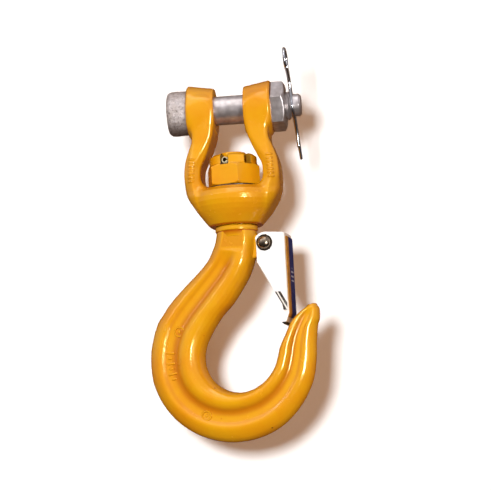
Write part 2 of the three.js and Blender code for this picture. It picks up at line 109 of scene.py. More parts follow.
def grid_faces(rows, columns, closed_rows=False):
    """Quads over rows of points; each row is closed on itself."""
    faces = []
    for i in range(rows if closed_rows else rows - 1):
        k = (i + 1) % rows
        for j in range(columns):
            n = (j + 1) % columns
            faces.append([i * columns + j, i * columns + n, k * columns + n, k * columns + j])
    return faces


def skin(rings, closed=False):
    """A closed skin over rings of points, with a fan at each end."""
    rings = np.asarray(rings, float)
    rows, columns = rings.shape[:2]
    faces = grid_faces(rows, columns, closed)
    verts = rings.reshape(-1, 3)
    if closed:
        return verts, faces
    verts = np.concatenate([verts, rings[0].mean(0)[None], rings[-1].mean(0)[None]])
    a, b = rows * columns, rows * columns + 1
    for j in range(columns):
        n = (j + 1) % columns
        faces.append([a, n, j])
        faces.append([b, (rows - 1) * columns + j, (rows - 1) * columns + n])
    return verts, faces


def rounded(points, radii, steps=4):
    """An open profile with its corners turned into arcs."""
    points = [np.array(p, float) for p in points]
    out = [points[0]]
    for i in range(1, len(points) - 1):
        p, a, b = points[i], points[i - 1], points[i + 1]
        r = radii[i] if isinstance(radii, (list, tuple)) else radii
        u, v = (a - p) / np.linalg.norm(a - p), (b - p) / np.linalg.norm(b - p)
        angle = math.acos(max(-1, min(1, float(u @ v))))
        if r <= 0 or angle > math.pi - 0.05:
            out.append(p)
            continue
        cut = min(r / math.tan(angle / 2), 0.45 * np.linalg.norm(a - p), 0.45 * np.linalg.norm(b - p))
        r = cut * math.tan(angle / 2)
        middle = p + (u + v) / np.linalg.norm(u + v) * (r / math.sin(angle / 2))
        start, end = p + u * cut - middle, p + v * cut - middle
        a0 = math.atan2(start[1], start[0])
        turn = (math.atan2(end[1], end[0]) - a0 + math.pi) % (2 * math.pi) - math.pi
        for k in range(steps + 1):
            t = a0 + turn * k / steps
            out.append(middle + r * np.array([math.cos(t), math.sin(t)]))
    out.append(points[-1])
    return np.array(out)


def lathe(profile, axis="z", segments=96, at=(0, 0), bump=None):
    """Turned about an axis; the profile is (radius, height) points. bump moves the surface outwards."""
    profile = np.asarray(profile, float)
    closed = np.allclose(profile[0], profile[-1])
    if closed:
        profile = profile[:-1]
    angle = np.arange(segments) / segments * 2 * math.pi
    r = np.maximum(profile[:, 0], 0.0)[:, None] * np.ones(segments)
    h = profile[:, 1][:, None] * np.ones(segments)
    t = angle[None] * np.ones((len(profile), 1))
    if bump:
        r = r + bump(r, h, t) * (r > 0.5)
    places = [r * np.cos(t) + at[0], r * np.sin(t) + at[1]]
    places.insert("xyz".index(axis), h)
    return skin(np.stack(places, -1), closed)


def curve(points, places):
    """The centripetal Catmull-Rom curve through the points; a place counts the points from 0."""
    p = np.asarray(points, float)
    p = np.concatenate([[2 * p[0] - p[1]], p, [2 * p[-1] - p[-2]]])
    out = []
    for k in places:
        i = min(int(k), len(p) - 4)
        a, b, c, d = p[i : i + 4]
        t1 = np.linalg.norm(b - a) ** 0.5
        t2 = t1 + np.linalg.norm(c - b) ** 0.5
        t3 = t2 + np.linalg.norm(d - c) ** 0.5
        t = t1 + (t2 - t1) * (k - i)
        a1 = a + (b - a) * (t / t1)
        a2 = b + (c - b) * ((t - t1) / (t2 - t1))
        a3 = c + (d - c) * ((t - t2) / (t3 - t2))
        b1 = a1 + (a2 - a1) * (t / t2)
        b2 = a2 + (a3 - a2) * ((t - t1) / (t3 - t1))
        out.append(b1 + (b2 - b1) * ((t - t1) / (t2 - t1)))
    return np.array(out)


def spline(points, count):
    """The curve through the points, evenly sampled by arc length."""
    last = len(points) - 2
    fine = curve(points, np.append(np.arange(24 * last) / 24, last + np.linspace(0, 1, 24)))
    length = np.concatenate([[0], np.cumsum(np.linalg.norm(np.diff(fine, axis=0), axis=1))])
    at = np.linspace(0, length[-1], count)
    return np.stack([np.interp(at, length, column) for column in fine.T], -1)


def wire(path, radius, sides):
    """A round wire along a path, with rounded ends."""
    path = np.asarray(path, float)
    tangent = np.gradient(path, axis=0)
    tangent /= np.linalg.norm(tangent, axis=1)[:, None]
    normal = np.cross(tangent[0], [0.3, 0.9, 0.2])
    normal /= np.linalg.norm(normal)
    angle = np.arange(sides) / sides * 2 * math.pi
    circles = []
    for t in tangent:
        normal = normal - t * (normal @ t)
        normal /= np.linalg.norm(normal)
        circles.append(np.cos(angle)[:, None] * normal + np.sin(angle)[:, None] * np.cross(t, normal))
    ends = [(0.98, 0.2), (0.8, 0.6), (0.35, 0.94)]
    rings = [path[0] - tangent[0] * radius * ahead + radius * r * circles[0] for ahead, r in ends]
    rings += [p + radius * circle for p, circle in zip(path, circles)]
    rings += [path[-1] + tangent[-1] * radius * ahead + radius * r * circles[-1] for ahead, r in ends[::-1]]
    return skin(rings)


# ---------------------------------------------------------------- distance fields
def smoothstep(t, a, b):
    t = np.clip((t - a) / (b - a), 0, 1)
    return t * t * (3 - 2 * t)


def smax(a, b, k):
    """The larger of two distances, rounded over a width k where they meet."""
    h = np.clip(0.5 + 0.5 * (a - b) / k, 0, 1)
    return b * (1 - h) + a * h + k * h * (1 - h)


def smin(a, b, k):
    return -smax(-a, -b, k)


def polygon(x, y, points):
    """Signed distance to a closed polygon."""
    points = np.asarray(points, float)
    best, inside = np.full(x.shape, 1e18), np.zeros(x.shape, bool)
    for (x0, y0), (x1, y1) in zip(points, np.roll(points, -1, axis=0)):
        ex, ey = x1 - x0, y1 - y0
        px, py = x - x0, y - y0
        t = np.clip((px * ex + py * ey) / (ex * ex + ey * ey), 0, 1)
        best = np.minimum(best, (px - ex * t) ** 2 + (py - ey * t) ** 2)
        if ey:
            inside ^= ((y0 > y) != (y1 > y)) & (x < x0 + (y - y0) * ex / ey)
    return np.where(inside, -1, 1) * np.sqrt(best)


def hexagon(a, b, turn, flats):
    """Signed distance to six flats round the origin, the first one facing the turn from -b to a."""
    best = np.full(np.shape(a), -1e9)
    for k in range(6):
        angle = turn + math.radians(60 * k)
        best = np.maximum(best, a * math.sin(angle) - b * math.cos(angle) - flats)
    return best


def box2(x, y, cx, cy, hx, hy, r):
    """Signed distance to a rectangle with rounded corners."""
    qx, qy = np.abs(x - cx) - hx + r, np.abs(y - cy) - hy + r
    return np.hypot(np.maximum(qx, 0), np.maximum(qy, 0)) + np.minimum(np.maximum(qx, qy), 0) - r


def edge_ends(grid, axis, cut):
    """The grid's values at both ends of the edges along an axis."""
    start, end = list(cut), list(cut)
    start[axis], end[axis] = slice(0, -1), slice(1, None)
    return grid[tuple(start)], grid[tuple(end)]


def field_mesh(f, low, high, step):
    """The surface f = 0 as smooth quads (surface nets, then pulled onto the surface), with normals."""
    axes = [np.arange(a - 1.5 * step, b + 1.5 * step, step) for a, b in zip(low, high)]
    value = np.empty([len(a) for a in axes], np.float32)
    slab = max(1, 400000 // (len(axes[1]) * len(axes[2])))
    for i in range(0, len(axes[0]), slab):
        x, y, z = np.meshgrid(axes[0][i : i + slab], axes[1], axes[2], indexing="ij")
        value[i : i + slab] = f(x, y, z)
    inside = value < 0
    shape = np.array(value.shape) - 1
    total = np.zeros((*shape, 3), np.float32)
    count = np.zeros(shape, np.int16)
    for axis in range(3):
        u, v = [k for k in range(3) if k != axis]
        for du, dv in ((0, 0), (0, 1), (1, 0), (1, 1)):
            cut = [slice(None)] * 3
            cut[u], cut[v] = slice(du, du + shape[u]), slice(dv, dv + shape[v])
            a, b = edge_ends(value, axis, cut)
            hit = (a < 0) != (b < 0)
            total[..., axis] += np.where(hit, a / np.where(hit, a - b, 1), 0)
            total[..., u] += du * hit
            total[..., v] += dv * hit
            count += hit
    where = count > 0
    index = np.full(shape, -1, np.int64)
    index[where] = np.arange(where.sum())
    cells = np.argwhere(where)
    verts = total[where] / count[where][:, None] + cells
    verts = verts * step + np.array([a[0] for a in axes])
    faces = []
    for axis in range(3):
        u, v = (axis + 1) % 3, (axis + 2) % 3
        cut = [slice(None)] * 3
        cut[u] = cut[v] = slice(1, -1)
        a, b = edge_ends(inside, axis, cut)
        for cross, way in ((a & ~b, 1), (~a & b, -1)):
            at = np.argwhere(cross)
            at[:, [u, v]] += 1
            corners = []
            for du, dv in ((0, 0), (-1, 0), (-1, -1), (0, -1)):
                c = at.copy()
                c[:, u] += du
                c[:, v] += dv
                corners.append(index[tuple(c.T)])
            faces.append(np.stack(corners, -1)[:, ::way])
    faces = np.concatenate(faces)

    def slope(p):
        e = 0.04
        return np.stack([f(*(p + d).T) - f(*(p - d).T) for d in e * np.eye(3)], -1) / (2 * e)

    def pull(p):
        g = slope(p)
        move = (f(*p.T) / np.maximum((g**2).sum(1), 0.05))[:, None] * g
        size = np.linalg.norm(move, axis=1)[:, None]
        return p - move * np.minimum(1, 0.6 * step / np.maximum(size, 1e-9))

    a, b = faces.reshape(-1), faces[:, [1, 2, 3, 0]].reshape(-1)
    links = np.bincount(np.append(a, b), minlength=len(verts))
    verts = pull(verts.astype(float))
    for _ in range(3):
        near = np.zeros_like(verts)
        np.add.at(near, a, verts[b])
        np.add.at(near, b, verts[a])
        verts = pull(pull(0.5 * verts + 0.5 * near / links[:, None]))
    g = slope(verts)
    return verts, faces, g / np.maximum(np.linalg.norm(g, axis=1), 1e-9)[:, None]


# ---------------------------------------------------------------- materials
def srgb(r, g, b):
    """A screen colour as the linear colour the shader takes."""
    return tuple(c / 12.92 if c <= 0.04045 else ((c + 0.055) / 1.055) ** 2.4 for c in (r, g, b)) + (1,)


class Nodes:
    """A material's node tree, with short ways to add the nodes used here."""

    def __init__(self, name, turn=0.0):
        self.material = bpy.data.materials.new(name)
        self.material.use_nodes = True
        self.tree = self.material.node_tree
        self.shader = self.tree.nodes["Principled BSDF"]
        self.place = self.add("ShaderNodeTexCoord").outputs["Object"]
        if turn:
            spun = self.add("ShaderNodeVectorRotate", rotation_type="Z_AXIS")
            spun.inputs["Angle"].default_value = -turn
            self.link(self.place, spun.inputs["Vector"])
            self.place = spun.outputs["Vector"]

    def add(self, kind, **values):
        node = self.tree.nodes.new(kind)
        for key, value in values.items():
            setattr(node, key, value)
        return node

    def link(self, a, b):
        self.tree.links.new(a, b)

    def put(self, socket, value):
        if isinstance(value, bpy.types.NodeSocket):
            self.link(value, socket)
        else:
            socket.default_value = value

    def set(self, **values):
        for key, value in values.items():
            self.put(self.shader.inputs[key.replace("_", " ")], value)

    def axes(self):
        """The place on the object in metres, as X, Y and Z."""
        split = self.add("ShaderNodeSeparateXYZ")
        self.link(self.place, split.inputs[0])
        return split.outputs["X"], split.outputs["Y"], split.outputs["Z"]

    def noise(self, scale, detail=3, rough=0.55):
        node = self.add("ShaderNodeTexNoise")
        self.link(self.place, node.inputs["Vector"])
        for key, value in (("Scale", scale), ("Detail", detail), ("Roughness", rough)):
            node.inputs[key].default_value = value
        return node.outputs["Fac"]

    def cells(self, scale):
        node = self.add("ShaderNodeTexVoronoi")
        self.link(self.place, node.inputs["Vector"])
        node.inputs["Scale"].default_value = scale
        return node.outputs["Distance"]

    def ramp(self, value, *stops):
        """Stops are (position, grey or colour)."""
        node = self.add("ShaderNodeValToRGB")
        self.link(value, node.inputs["Fac"])
        ends = node.color_ramp.elements
        while len(ends) < len(stops):
            ends.new(0.5)
        for end, (at, colour) in zip(ends, stops):
            end.position = at
            end.color = colour if isinstance(colour, tuple) else (colour, colour, colour, 1)
        return node.outputs["Color"]

    def patches(self, scale, low, high, detail=3, rough=0.55):
        """Noise that runs from 0 at low to 1 at high."""
        return self.ramp(self.noise(scale, detail, rough), (low, 0.0), (high, 1.0))

    def mix(self, a, b, factor):
        node = self.add("ShaderNodeMix", data_type="RGBA")
        self.put(node.inputs["Factor"], factor)
        self.put(node.inputs[6], a)
        self.put(node.inputs[7], b)
        return node.outputs[2]

    def math(self, how, a, b):
        node = self.add("ShaderNodeMath", operation=how)
        self.put(node.inputs[0], a)
        self.put(node.inputs[1], b)
        return node.outputs[0]

    def times(self, a, b):
        return self.math("MULTIPLY", a, b)

    def near(self, value, centre, reach):
        """1 where the value is within reach of the centre, else 0."""
        return self.math("LESS_THAN", self.math("ABSOLUTE", self.math("SUBTRACT", value, centre), 0), reach)

    def slot_offset(self, x, y, turn):
        """How far a place lies sideways from a line through the axis, along the castle nut's slot."""
        return self.math("ADD", self.times(x, -math.cos(turn)), self.times(y, -math.sin(turn)))

    def step(self, value, low, high):
        """Runs from 0 at low to 1 at high, either way round."""
        node = self.add("ShaderNodeMapRange", interpolation_type="SMOOTHSTEP", clamp=True)
        ends = (low, high, 0.0, 1.0) if low < high else (high, low, 1.0, 0.0)
        self.link(value, node.inputs["Value"])
        for key, number in zip(("From Min", "From Max", "To Min", "To Max"), ends):
            node.inputs[key].default_value = number
        return node.outputs["Result"]

    def bump(self, height, distance, strength=1.0, after=None):
        node = self.add("ShaderNodeBump")
        node.inputs["Strength"].default_value = strength
        node.inputs["Distance"].default_value = distance
        self.link(height, node.inputs["Height"])
        if after is not None:
            self.link(after, node.inputs["Normal"])
        return node.outputs["Normal"]


def orange_paint(name="orange_paint", slotted=False):
    """Glossy forging paint, with painted shade wherever the hollow attribute is set and in the castle nut's
    slots.
    """
    n = Nodes(name)
    base, warm, deep = srgb(0.845, 0.605, 0.06), srgb(0.835, 0.545, 0.05), srgb(0.68, 0.32, 0.03)
    colour = n.mix(base, warm, n.patches(30, 0.38, 0.66, 4, 0.6))
    # Painted shade: where the hollow attribute is set (grooves, creases, under the bell, the marks' feet) the
    # paint turns deep orange.
    hollow = n.add("ShaderNodeAttribute", attribute_name="hollow").outputs["Fac"]
    colour = n.mix(colour, deep, n.times(hollow, 0.6))
    # Thin places and handling marks: small, sparse and only a little darker.
    colour = n.mix(colour, deep, n.times(n.patches(330, 0.67, 0.76, 5, 0.65), 0.55))
    specks = n.times(n.step(n.cells(95), 0.075, 0.045), n.step(n.noise(60, 1), 0.54, 0.57))
    colour = n.mix(colour, srgb(0.42, 0.22, 0.05), n.times(specks, 0.85))
    if slotted:
        # Painted shade: the three slots are painted near black above the hex, fully in the first and at 0.6
        # in the other two.
        x, y, z = n.axes()
        inside = 0.0
        for k, shade_amount in enumerate((1.0, 0.6, 0.6)):
            across = n.slot_offset(x, y, SLOT_TURN + math.radians(60 * k))
            band = n.step(n.math("ABSOLUTE", across, 0), 0.0031, 0.0027)
            inside = n.math("MAXIMUM", inside, n.times(band, shade_amount))
        slot_shade = n.times(inside, n.step(z, -0.0402, -0.0396))
        colour = n.mix(colour, srgb(0.13, 0.10, 0.08), slot_shade)
    n.set(Base_Color=colour, Metallic=0.0)
    n.set(Roughness=n.ramp(n.noise(90, 4, 0.6), (0.3, 0.17), (0.75, 0.30)))
    n.set(Specular_IOR_Level=0.75, Specular_Tint=(1.0, 0.80, 0.34, 1))
    n.set(Coat_Weight=0.25, Coat_Roughness=0.05)
    forged = n.bump(n.noise(110, 3, 0.5), 0.0006, 0.5)
    peel = n.bump(n.noise(620, 2, 0.5), 0.00016, 0.5, forged)
    n.set(Normal=peel)
    return n.material


def white_paint():
    n = Nodes("white_paint", HOOK_TURN)
    cloud = n.patches(70, 0.35, 0.7, 4, 0.6)
    colour = n.mix(srgb(0.97, 0.97, 0.965), srgb(0.925, 0.925, 0.92), cloud)
    speck = n.patches(520, 0.70, 0.75, 4, 0.6)
    colour = n.mix(colour, srgb(0.72, 0.71, 0.69), n.times(speck, 0.5))
    # Painted shade: the sides' lower ends, by the hook's point, are painted dark and streaked where the
    # channel's inside lies in shade, with a pale line along the edge.
    x, y, z = n.axes()
    edge = n.math("ADD", n.times(x, 0.886), n.times(z, 0.4635))
    painted_shade_patch = n.step(edge, -0.0321, -0.0327)
    for value, out, within in ((z, -0.1283, -0.1291), (z, -0.1417, -0.1411), (x, 0.0350, 0.0346),
                               (n.math("ABSOLUTE", y, 0), 0.0099, 0.0102)):
        painted_shade_patch = n.times(painted_shade_patch, n.step(value, out, within))
    shade_tone = n.mix(srgb(0.06, 0.05, 0.05), srgb(0.34, 0.29, 0.24), n.patches(900, 0.45, 0.62, 3, 0.6))
    ridge = n.times(n.step(edge, -0.0351, -0.0348), n.step(edge, -0.0339, -0.0342))
    shade_tone = n.mix(shade_tone, srgb(0.86, 0.85, 0.82), ridge)
    colour = n.mix(colour, shade_tone, painted_shade_patch)
    # Painted shade: the tongue's very end is painted near black.
    colour = n.mix(colour, srgb(0.05, 0.045, 0.045), n.step(z, -0.1489, -0.1494))
    n.set(Base_Color=colour, Metallic=0.0, Coat_Weight=0.25, Coat_Roughness=0.15)
    n.set(Roughness=n.ramp(n.noise(160), (0.3, 0.32), (0.7, 0.46)))
    n.set(Normal=n.bump(n.noise(700, 2), 0.00012, 0.4))
    return n.material


def galvanised(name, rough_cast):
    """Zinc: a faint spangle, dull patches, and a coarser skin on the cast-looking head."""
    n = Nodes(name)
    spangle = n.ramp(n.cells(420 if rough_cast else 260), (0.0, 0.0), (0.9, 1.0))
    colour = n.mix(srgb(0.86, 0.83, 0.83), srgb(0.70, 0.67, 0.67), spangle)
    dull = n.patches(85, 0.40, 0.68, 5, 0.65)
    colour = n.mix(colour, srgb(0.64, 0.58, 0.53), n.times(dull, 0.7 if rough_cast else 0.35))
    if rough_cast:
        flecks = n.patches(620, 0.55, 0.66, 4, 0.65)
        colour = n.mix(colour, srgb(0.38, 0.34, 0.31), n.times(flecks, 0.75))
        # Painted shade: the head is painted darker towards the side that hangs lowest.
        low = n.step(n.axes()[2], -0.0065, -0.0165)
        colour = n.mix(colour, srgb(0.27, 0.22, 0.18), n.times(low, 0.8))
    n.set(Base_Color=colour, Metallic=0.45 if rough_cast else 0.85)
    n.set(Roughness=n.ramp(n.noise(230, 4), (0.3, 0.30), (0.72, 0.50 if rough_cast else 0.40)))
    if rough_cast:
        coarse = n.bump(n.noise(300, 5, 0.66), 0.0016, 0.9)
        n.set(Normal=n.bump(n.cells(900), 0.00025, 0.5, coarse))
    else:
        coarse = n.bump(n.noise(240, 4, 0.6), 0.0005, 0.35)
        n.set(Normal=n.bump(n.noise(1200, 2), 0.0001, 0.4, coarse))
    return n.material


def bright_steel(name, colour, rough, metal=1.0, bore=False):
    """Plain steel with a faint tint; the roll pin's bore is painted near black as shade."""
    n = Nodes(name)
    darker = tuple(c * 0.72 for c in colour[:3]) + (1,)
    shade = n.mix(colour, darker, n.patches(300, 0.35, 0.7))
    if bore:
        # Painted shade inside the roll pin's bore.
        x, y, z = n.axes()
        across = n.slot_offset(x, y, SLOT_TURN)
        rise = n.math("SUBTRACT", z, ROLL_PIN_Z * MM)
        reach = n.math("ADD", n.times(across, across), n.times(rise, rise))
        shade = n.mix(shade, srgb(0.06, 0.05, 0.04), n.step(reach, 0.00142**2, 0.00134**2))
    n.set(Base_Color=shade, Metallic=metal)
    n.set(Roughness=n.ramp(n.noise(500), (0.3, rough * 0.8), (0.7, rough * 1.35)))
    n.set(Normal=n.bump(n.noise(900, 2), 0.00008, 0.35))
    return n.material


def label_vinyl():
    """A two-colour sticker: a narrow ochre strip along the front edge, a blue field with pale bars."""
    n = Nodes("label_vinyl", HOOK_TURN)
    _, y, z = n.axes()
    strip = n.math("LESS_THAN", y, -0.0030)
    hair = n.near(y, -0.0028, 0.00035)
    blue = n.mix(srgb(0.10, 0.15, 0.42), srgb(0.16, 0.22, 0.50), n.patches(150, 0.4, 0.7))
    ochre = n.mix(srgb(0.78, 0.56, 0.22), srgb(0.62, 0.43, 0.17), n.patches(260, 0.4, 0.7))
    colour = n.mix(blue, ochre, strip)
    colour = n.mix(colour, srgb(0.08, 0.09, 0.16), hair)
    # Three pale bars in the middle of the blue, in place of printing.
    patch = n.times(n.near(y, 0.0040, 0.0036), n.near(z, -0.1165, 0.0045))
    bars = n.math("LESS_THAN", n.math("FRACT", n.times(z, 330.0), 0), 0.38)
    colour = n.mix(colour, srgb(0.72, 0.76, 0.86), n.times(patch, bars))
    scuff = n.patches(420, 0.64, 0.7, 5, 0.7)
    colour = n.mix(colour, srgb(0.55, 0.56, 0.60), n.times(scuff, 0.35))
    n.set(Base_Color=colour, Metallic=0.0, Specular_IOR_Level=0.12)
    n.set(Roughness=n.ramp(n.noise(200), (0.3, 0.42), (0.7, 0.58)))
    n.set(Normal=n.bump(n.noise(260, 3), 0.00012, 0.4))
    return n.material


PAINT = orange_paint()
NUT_PAINT = orange_paint("orange_paint_nut", slotted=True)
WHITE = white_paint()
ZINC_HEAD = galvanised("zinc_cast", True)
ZINC = galvanised("zinc_turned", False)
WIRE = bright_steel("spring_wire", srgb(0.80, 0.80, 0.82), 0.17)
RIVET = bright_steel("latch_rivet", srgb(0.60, 0.53, 0.45), 0.24)
DARK = bright_steel("latch_washer", srgb(0.30, 0.26, 0.22), 0.38)
PIN_STEEL = bright_steel("roll_pin_steel", srgb(0.95, 0.90, 0.74), 0.4, metal=0.2, bore=True)
# The bearing steel is a darker grey than bare steel, as painted shade in the gap under the castle nut.
BEARING = bright_steel("bearing_steel", srgb(0.40, 0.38, 0.35), 0.34)
BRASS = bright_steel("cage_brass", srgb(0.78, 0.62, 0.34), 0.3)
LABEL = label_vinyl()


# ---------------------------------------------------------------- swivel jaw
ARM = [  # middle of the strap in X and Z, its thickness and its depth
    (23.6, -67, 9, 34), (25.2, -60, 12.6, 41), (26.5, -52, 11.6, 41), (26.8, -45, 11.0, 37.5),
    (26.0, -38.5, 11.2, 35), (23.3, -31.5, 12, 32.5), (20.4, -24.5, 12.6, 31), (18.9, -17, 15, 31.5),
    (18.9, -10, 17, 32.5), (19.1, -2, 17.6, 33),
]
ARM_LINE = spline(ARM, 70)


def arm_field(x, y, z):
    """Both arms: a strap swept along the arm line, with chamfered corners."""
    ax = np.abs(x)
    best, along, side = np.full(x.shape, 1e18), np.zeros(x.shape), np.zeros(x.shape)
    for i in range(len(ARM_LINE) - 1):
        (x0, z0), (x1, z1) = ARM_LINE[i, :2], ARM_LINE[i + 1, :2]
        ex, ez = x1 - x0, z1 - z0
        px, pz = ax - x0, z - z0
        t = np.clip((px * ex + pz * ez) / (ex * ex + ez * ez), 0, 1)
        d = (px - ex * t) ** 2 + (pz - ez * t) ** 2
        hit = d < best
        best = np.where(hit, d, best)
        along = np.where(hit, i + t, along)
        side = np.where(hit, np.sign(px * ez - pz * ex), side)
    thick, deep = (np.interp(along, np.arange(len(ARM_LINE)), ARM_LINE[:, k]) for k in (2, 3))
    w = np.sqrt(best) * side
    # The corners are crisp beside the ears and rounder down the arms.
    low = np.clip((-22 - z) / 18, 0, 1)
    root = np.clip((-46 - z) / 12, 0, 1)
    flat = box2(w, y, 0, 0, thick / 2, deep / 2, 1.6 + 2.2 * low + 1.4 * root)
    cut = 1.8 + 2.6 * low + 3.6 * root
    chamfer = (np.abs(w) + np.abs(y) - (thick / 2 + deep / 2 - cut)) * 0.7071
    return smax(flat, chamfer, 1.2 + 3 * root)


# Half outlines turned about an axis; they run past the axis to the same depth, where nothing is seen.
PAST = -9
BELL = [(PAST, -1.8), (21.0, -1.8), (25.0, -2.7), (27.8, -4.7), (29.1, -7.4), (28.9, -10.2), (27.8, -13.0),
        (25.9, -15.9), (23.5, -18.8), (20.8, -21.6), (18.6, -23.8), (17.4, -24.5), (PAST, -24.5)]
BELL = [(r, BELL_TOP + down) for r, down in BELL]
BELL_ROUND = 1.6
EAR_ROUND = 0.8
EAR = [(PAST, EAR_IN + EAR_ROUND), (14.7, EAR_IN + EAR_ROUND), (17.5, EAR_OUT - 1.4),
       (16.9, EAR_OUT - EAR_ROUND), (PAST, EAR_OUT - EAR_ROUND)]
NUT_ROOM = [(PAST, BELL_TOP), (20.9, BELL_TOP), (21.2, -46), (20.6, -39.5), (17.5, -33), (12.5, -27),
            (PAST, -20)]
BOLT_HOLE_R, POCKET_R, SHANK_HOLE_R = 10.4, 18.3, 12.8
STAMP_HEIGHT, STAMP_PITCH, STAMP_TOP = 0.6, 2.6, -35.4
FLANK_Z, FLANK_WIDTH, FLANK_SLOPE = -61.7, 30.9, 0.63


def stamps(x, y, z):
    """A plain ladder of raised bars on both arms, in place of the forging's marks."""
    ax = np.abs(x)
    lift = np.zeros(x.shape)
    for k in range(7):
        shape = box2(ax, z, 26.4 + 0.14 * k, STAMP_TOP - STAMP_PITCH * k, 2.1, 0.55, 0.5)
        lift = np.maximum(lift, np.clip(0.5 - shape / 0.6, 0, 1))
    return STAMP_HEIGHT * lift * (y < -8)


def jaw_field(x, y, z):
    r = np.hypot(x, y)
    d = polygon(r, z, BELL) - BELL_ROUND
    d = smin(d, arm_field(x, y, z), 8.0)
    # The flanks below the arms are dressed to a straight taper.
    flank = (np.abs(x) - FLANK_WIDTH - FLANK_SLOPE * (z - FLANK_Z)) / math.hypot(1, FLANK_SLOPE)
    d = smax(d, flank, 3.0)
    ear = polygon(np.hypot(y, z), np.abs(x), EAR) - EAR_ROUND
    d = smin(d, ear, 4.5)
    d = d - stamps(x, y, z)
    gap = box2(x, z, 0, 24, EAR_IN, 40, 2.5)
    d = smax(d, -gap, 0.9)
    d = smax(d, -(polygon(r, z, NUT_ROOM) - 0.3), 1.6)
    d = smax(d, BOLT_HOLE_R - np.hypot(y, z), 0.7)
    pocket = np.maximum(np.maximum(r - POCKET_R, POCKET_FLOOR - z), z - BELL_TOP - 4)
    d = smax(d, -pocket, 0.7)
    return smax(d, -np.maximum(r - SHANK_HOLE_R, z - POCKET_FLOOR - 4), 0.6)


JAW_STEP = 0.62
verts, faces, normals = field_mesh(jaw_field, (-34, -33, -83), (34, 33, 20), JAW_STEP)
# Painted shade under the bell and on the slopes of the raised bars, carried by the hollow attribute.
under_bell_shade = smoothstep(-verts[:, 2], 79.9, 80.6)
raised = stamps(*verts.T) / STAMP_HEIGHT
hollow = 1.5 * under_bell_shade + 1.3 * raised * (1 - raised)
jaw = mesh_piece("jaw_forging", verts, faces, PAINT, "jaw", "painted_steel", normals=normals, hollow=hollow)
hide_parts("swivel_jaw")


# ---------------------------------------------------------------- hook
SHANK = [  # inner side, outer side, half the thickness
    ((13.7, -84.6), (-13.7, -84.6), 13.7), ((13.9, -90), (-14.4, -89), 13.7),
    ((13.3, -97), (-16.8, -95.6), 13.4), ((11.5, -105.5), (-21.4, -103.6), 13),
    ((7.7, -115), (-29.0, -111.4), 12.6), ((1.8, -124.4), (-38.8, -120.2), 12.4),
    ((-5.0, -133.4), (-48.8, -130.1), 12.4), ((-13.9, -142.6), (-56.0, -139.6), 12.6),
]
BOWL_Z = -168.0
BOWL = [  # angle round the bowl, inner radius, outer radius, half the thickness
    (157, 25.8, 63.5, 12.9), (175, 26.3, 64.3, 13.2), (195, 26.8, 65.2, 13.4), (215, 26.9, 64.4, 13.5),
    (235, 26.6, 62.4, 13.5), (255, 26.1, 60.2, 13.3), (275, 25.4, 57.9, 13), (295, 24.7, 55.8, 12.6),
    (315, 24.4, 53.4, 12), (335, 24.5, 51.9, 11.4), (352, 24.9, 50.8, 10.9), (366, 26.6, 51.6, 10.6),
    (378, 31.6, 55.6, 10),
]
POINT = [  # as in SHANK
    ((34.4, -149.4), (53.9, -148.6), 9), ((38.3, -145), (54.4, -144), 8.2),
    ((42.4, -141.4), (54.1, -140.6), 7), ((45.4, -139.3), (52.6, -138.3), 5),
]
# Half the thickness across the section: inner bead, flat web, low ridge and rounded rim.
SECTION = np.array([
    (0, 0), (0.012, 0.27), (0.05, 0.56), (0.11, 0.79), (0.19, 0.95), (0.27, 1), (0.34, 0.96), (0.405, 0.84),
    (0.45, 0.715), (0.485, 0.655), (0.53, 0.64), (0.60, 0.64), (0.65, 0.65), (0.69, 0.69), (0.728, 0.75),
    (0.758, 0.778), (0.795, 0.76), (0.84, 0.70), (0.895, 0.59), (0.945, 0.445), (0.985, 0.24), (1, 0),
])


HOOK_STEPS = 300
NECK_FLAT = 11.4
stations = list(SHANK)
for angle, inner_r, outer_r, half in BOWL:
    way = np.array([math.cos(math.radians(angle)), math.sin(math.radians(angle))])
    stations.append((way * inner_r + (0, BOWL_Z), way * outer_r + (0, BOWL_Z), half))
stations += POINT
inner, outer, half = zip(*stations)
places = np.linspace(0, len(stations) - 1, HOOK_STEPS + 1)
inner_line, outer_line = curve(inner, places), curve(outer, places)
straight_line = np.interp(places, np.arange(len(stations)), half)
# The thickness runs smoothly along the hook, except at the very point.
half_line = np.convolve(np.pad(straight_line, 6, "edge"), np.ones(13) / 13, "valid")
half_line[-8:] = straight_line[-8:]
ACROSS = 0.5 - 0.5 * np.cos(np.linspace(0, math.pi, 62))
ACROSS = 0.55 * ACROSS + 0.45 * np.linspace(0, 1, 62)
ROUND_SIDE = 2 * np.sqrt(ACROSS * (1 - ACROSS))


def section_places(t):
    """The places across the section; the web moves inwards round the bowl."""
    return ACROSS ** (1 - 0.24 * smoothstep(t, 0.44, 0.60) + 0.06 * smoothstep(t, 0.66, 0.85))


def hook_heights(t, half):
    """Half thickness across the section at t along the hook, which runs from 0 to 1."""
    beaded = np.interp(section_places(t), SECTION[:, 0], SECTION[:, 1])
    beaded = np.convolve(np.pad(beaded, 1, "edge"), [0.25, 0.5, 0.25], "valid")
    beaded[0] = beaded[-1] = 0
    web = smoothstep(t, 0.065, 0.15) * (1 - smoothstep(t, 0.90, 0.995))
    height = half * (ROUND_SIDE + (beaded - ROUND_SIDE) * web)
    # The neck is dressed flat in front and behind above the web.
    flat = NECK_FLAT + 2 * smoothstep(t, 0.085, 0.11)
    return -smax(-height, np.full_like(height, -flat), 0.25) if t < 0.11 else height


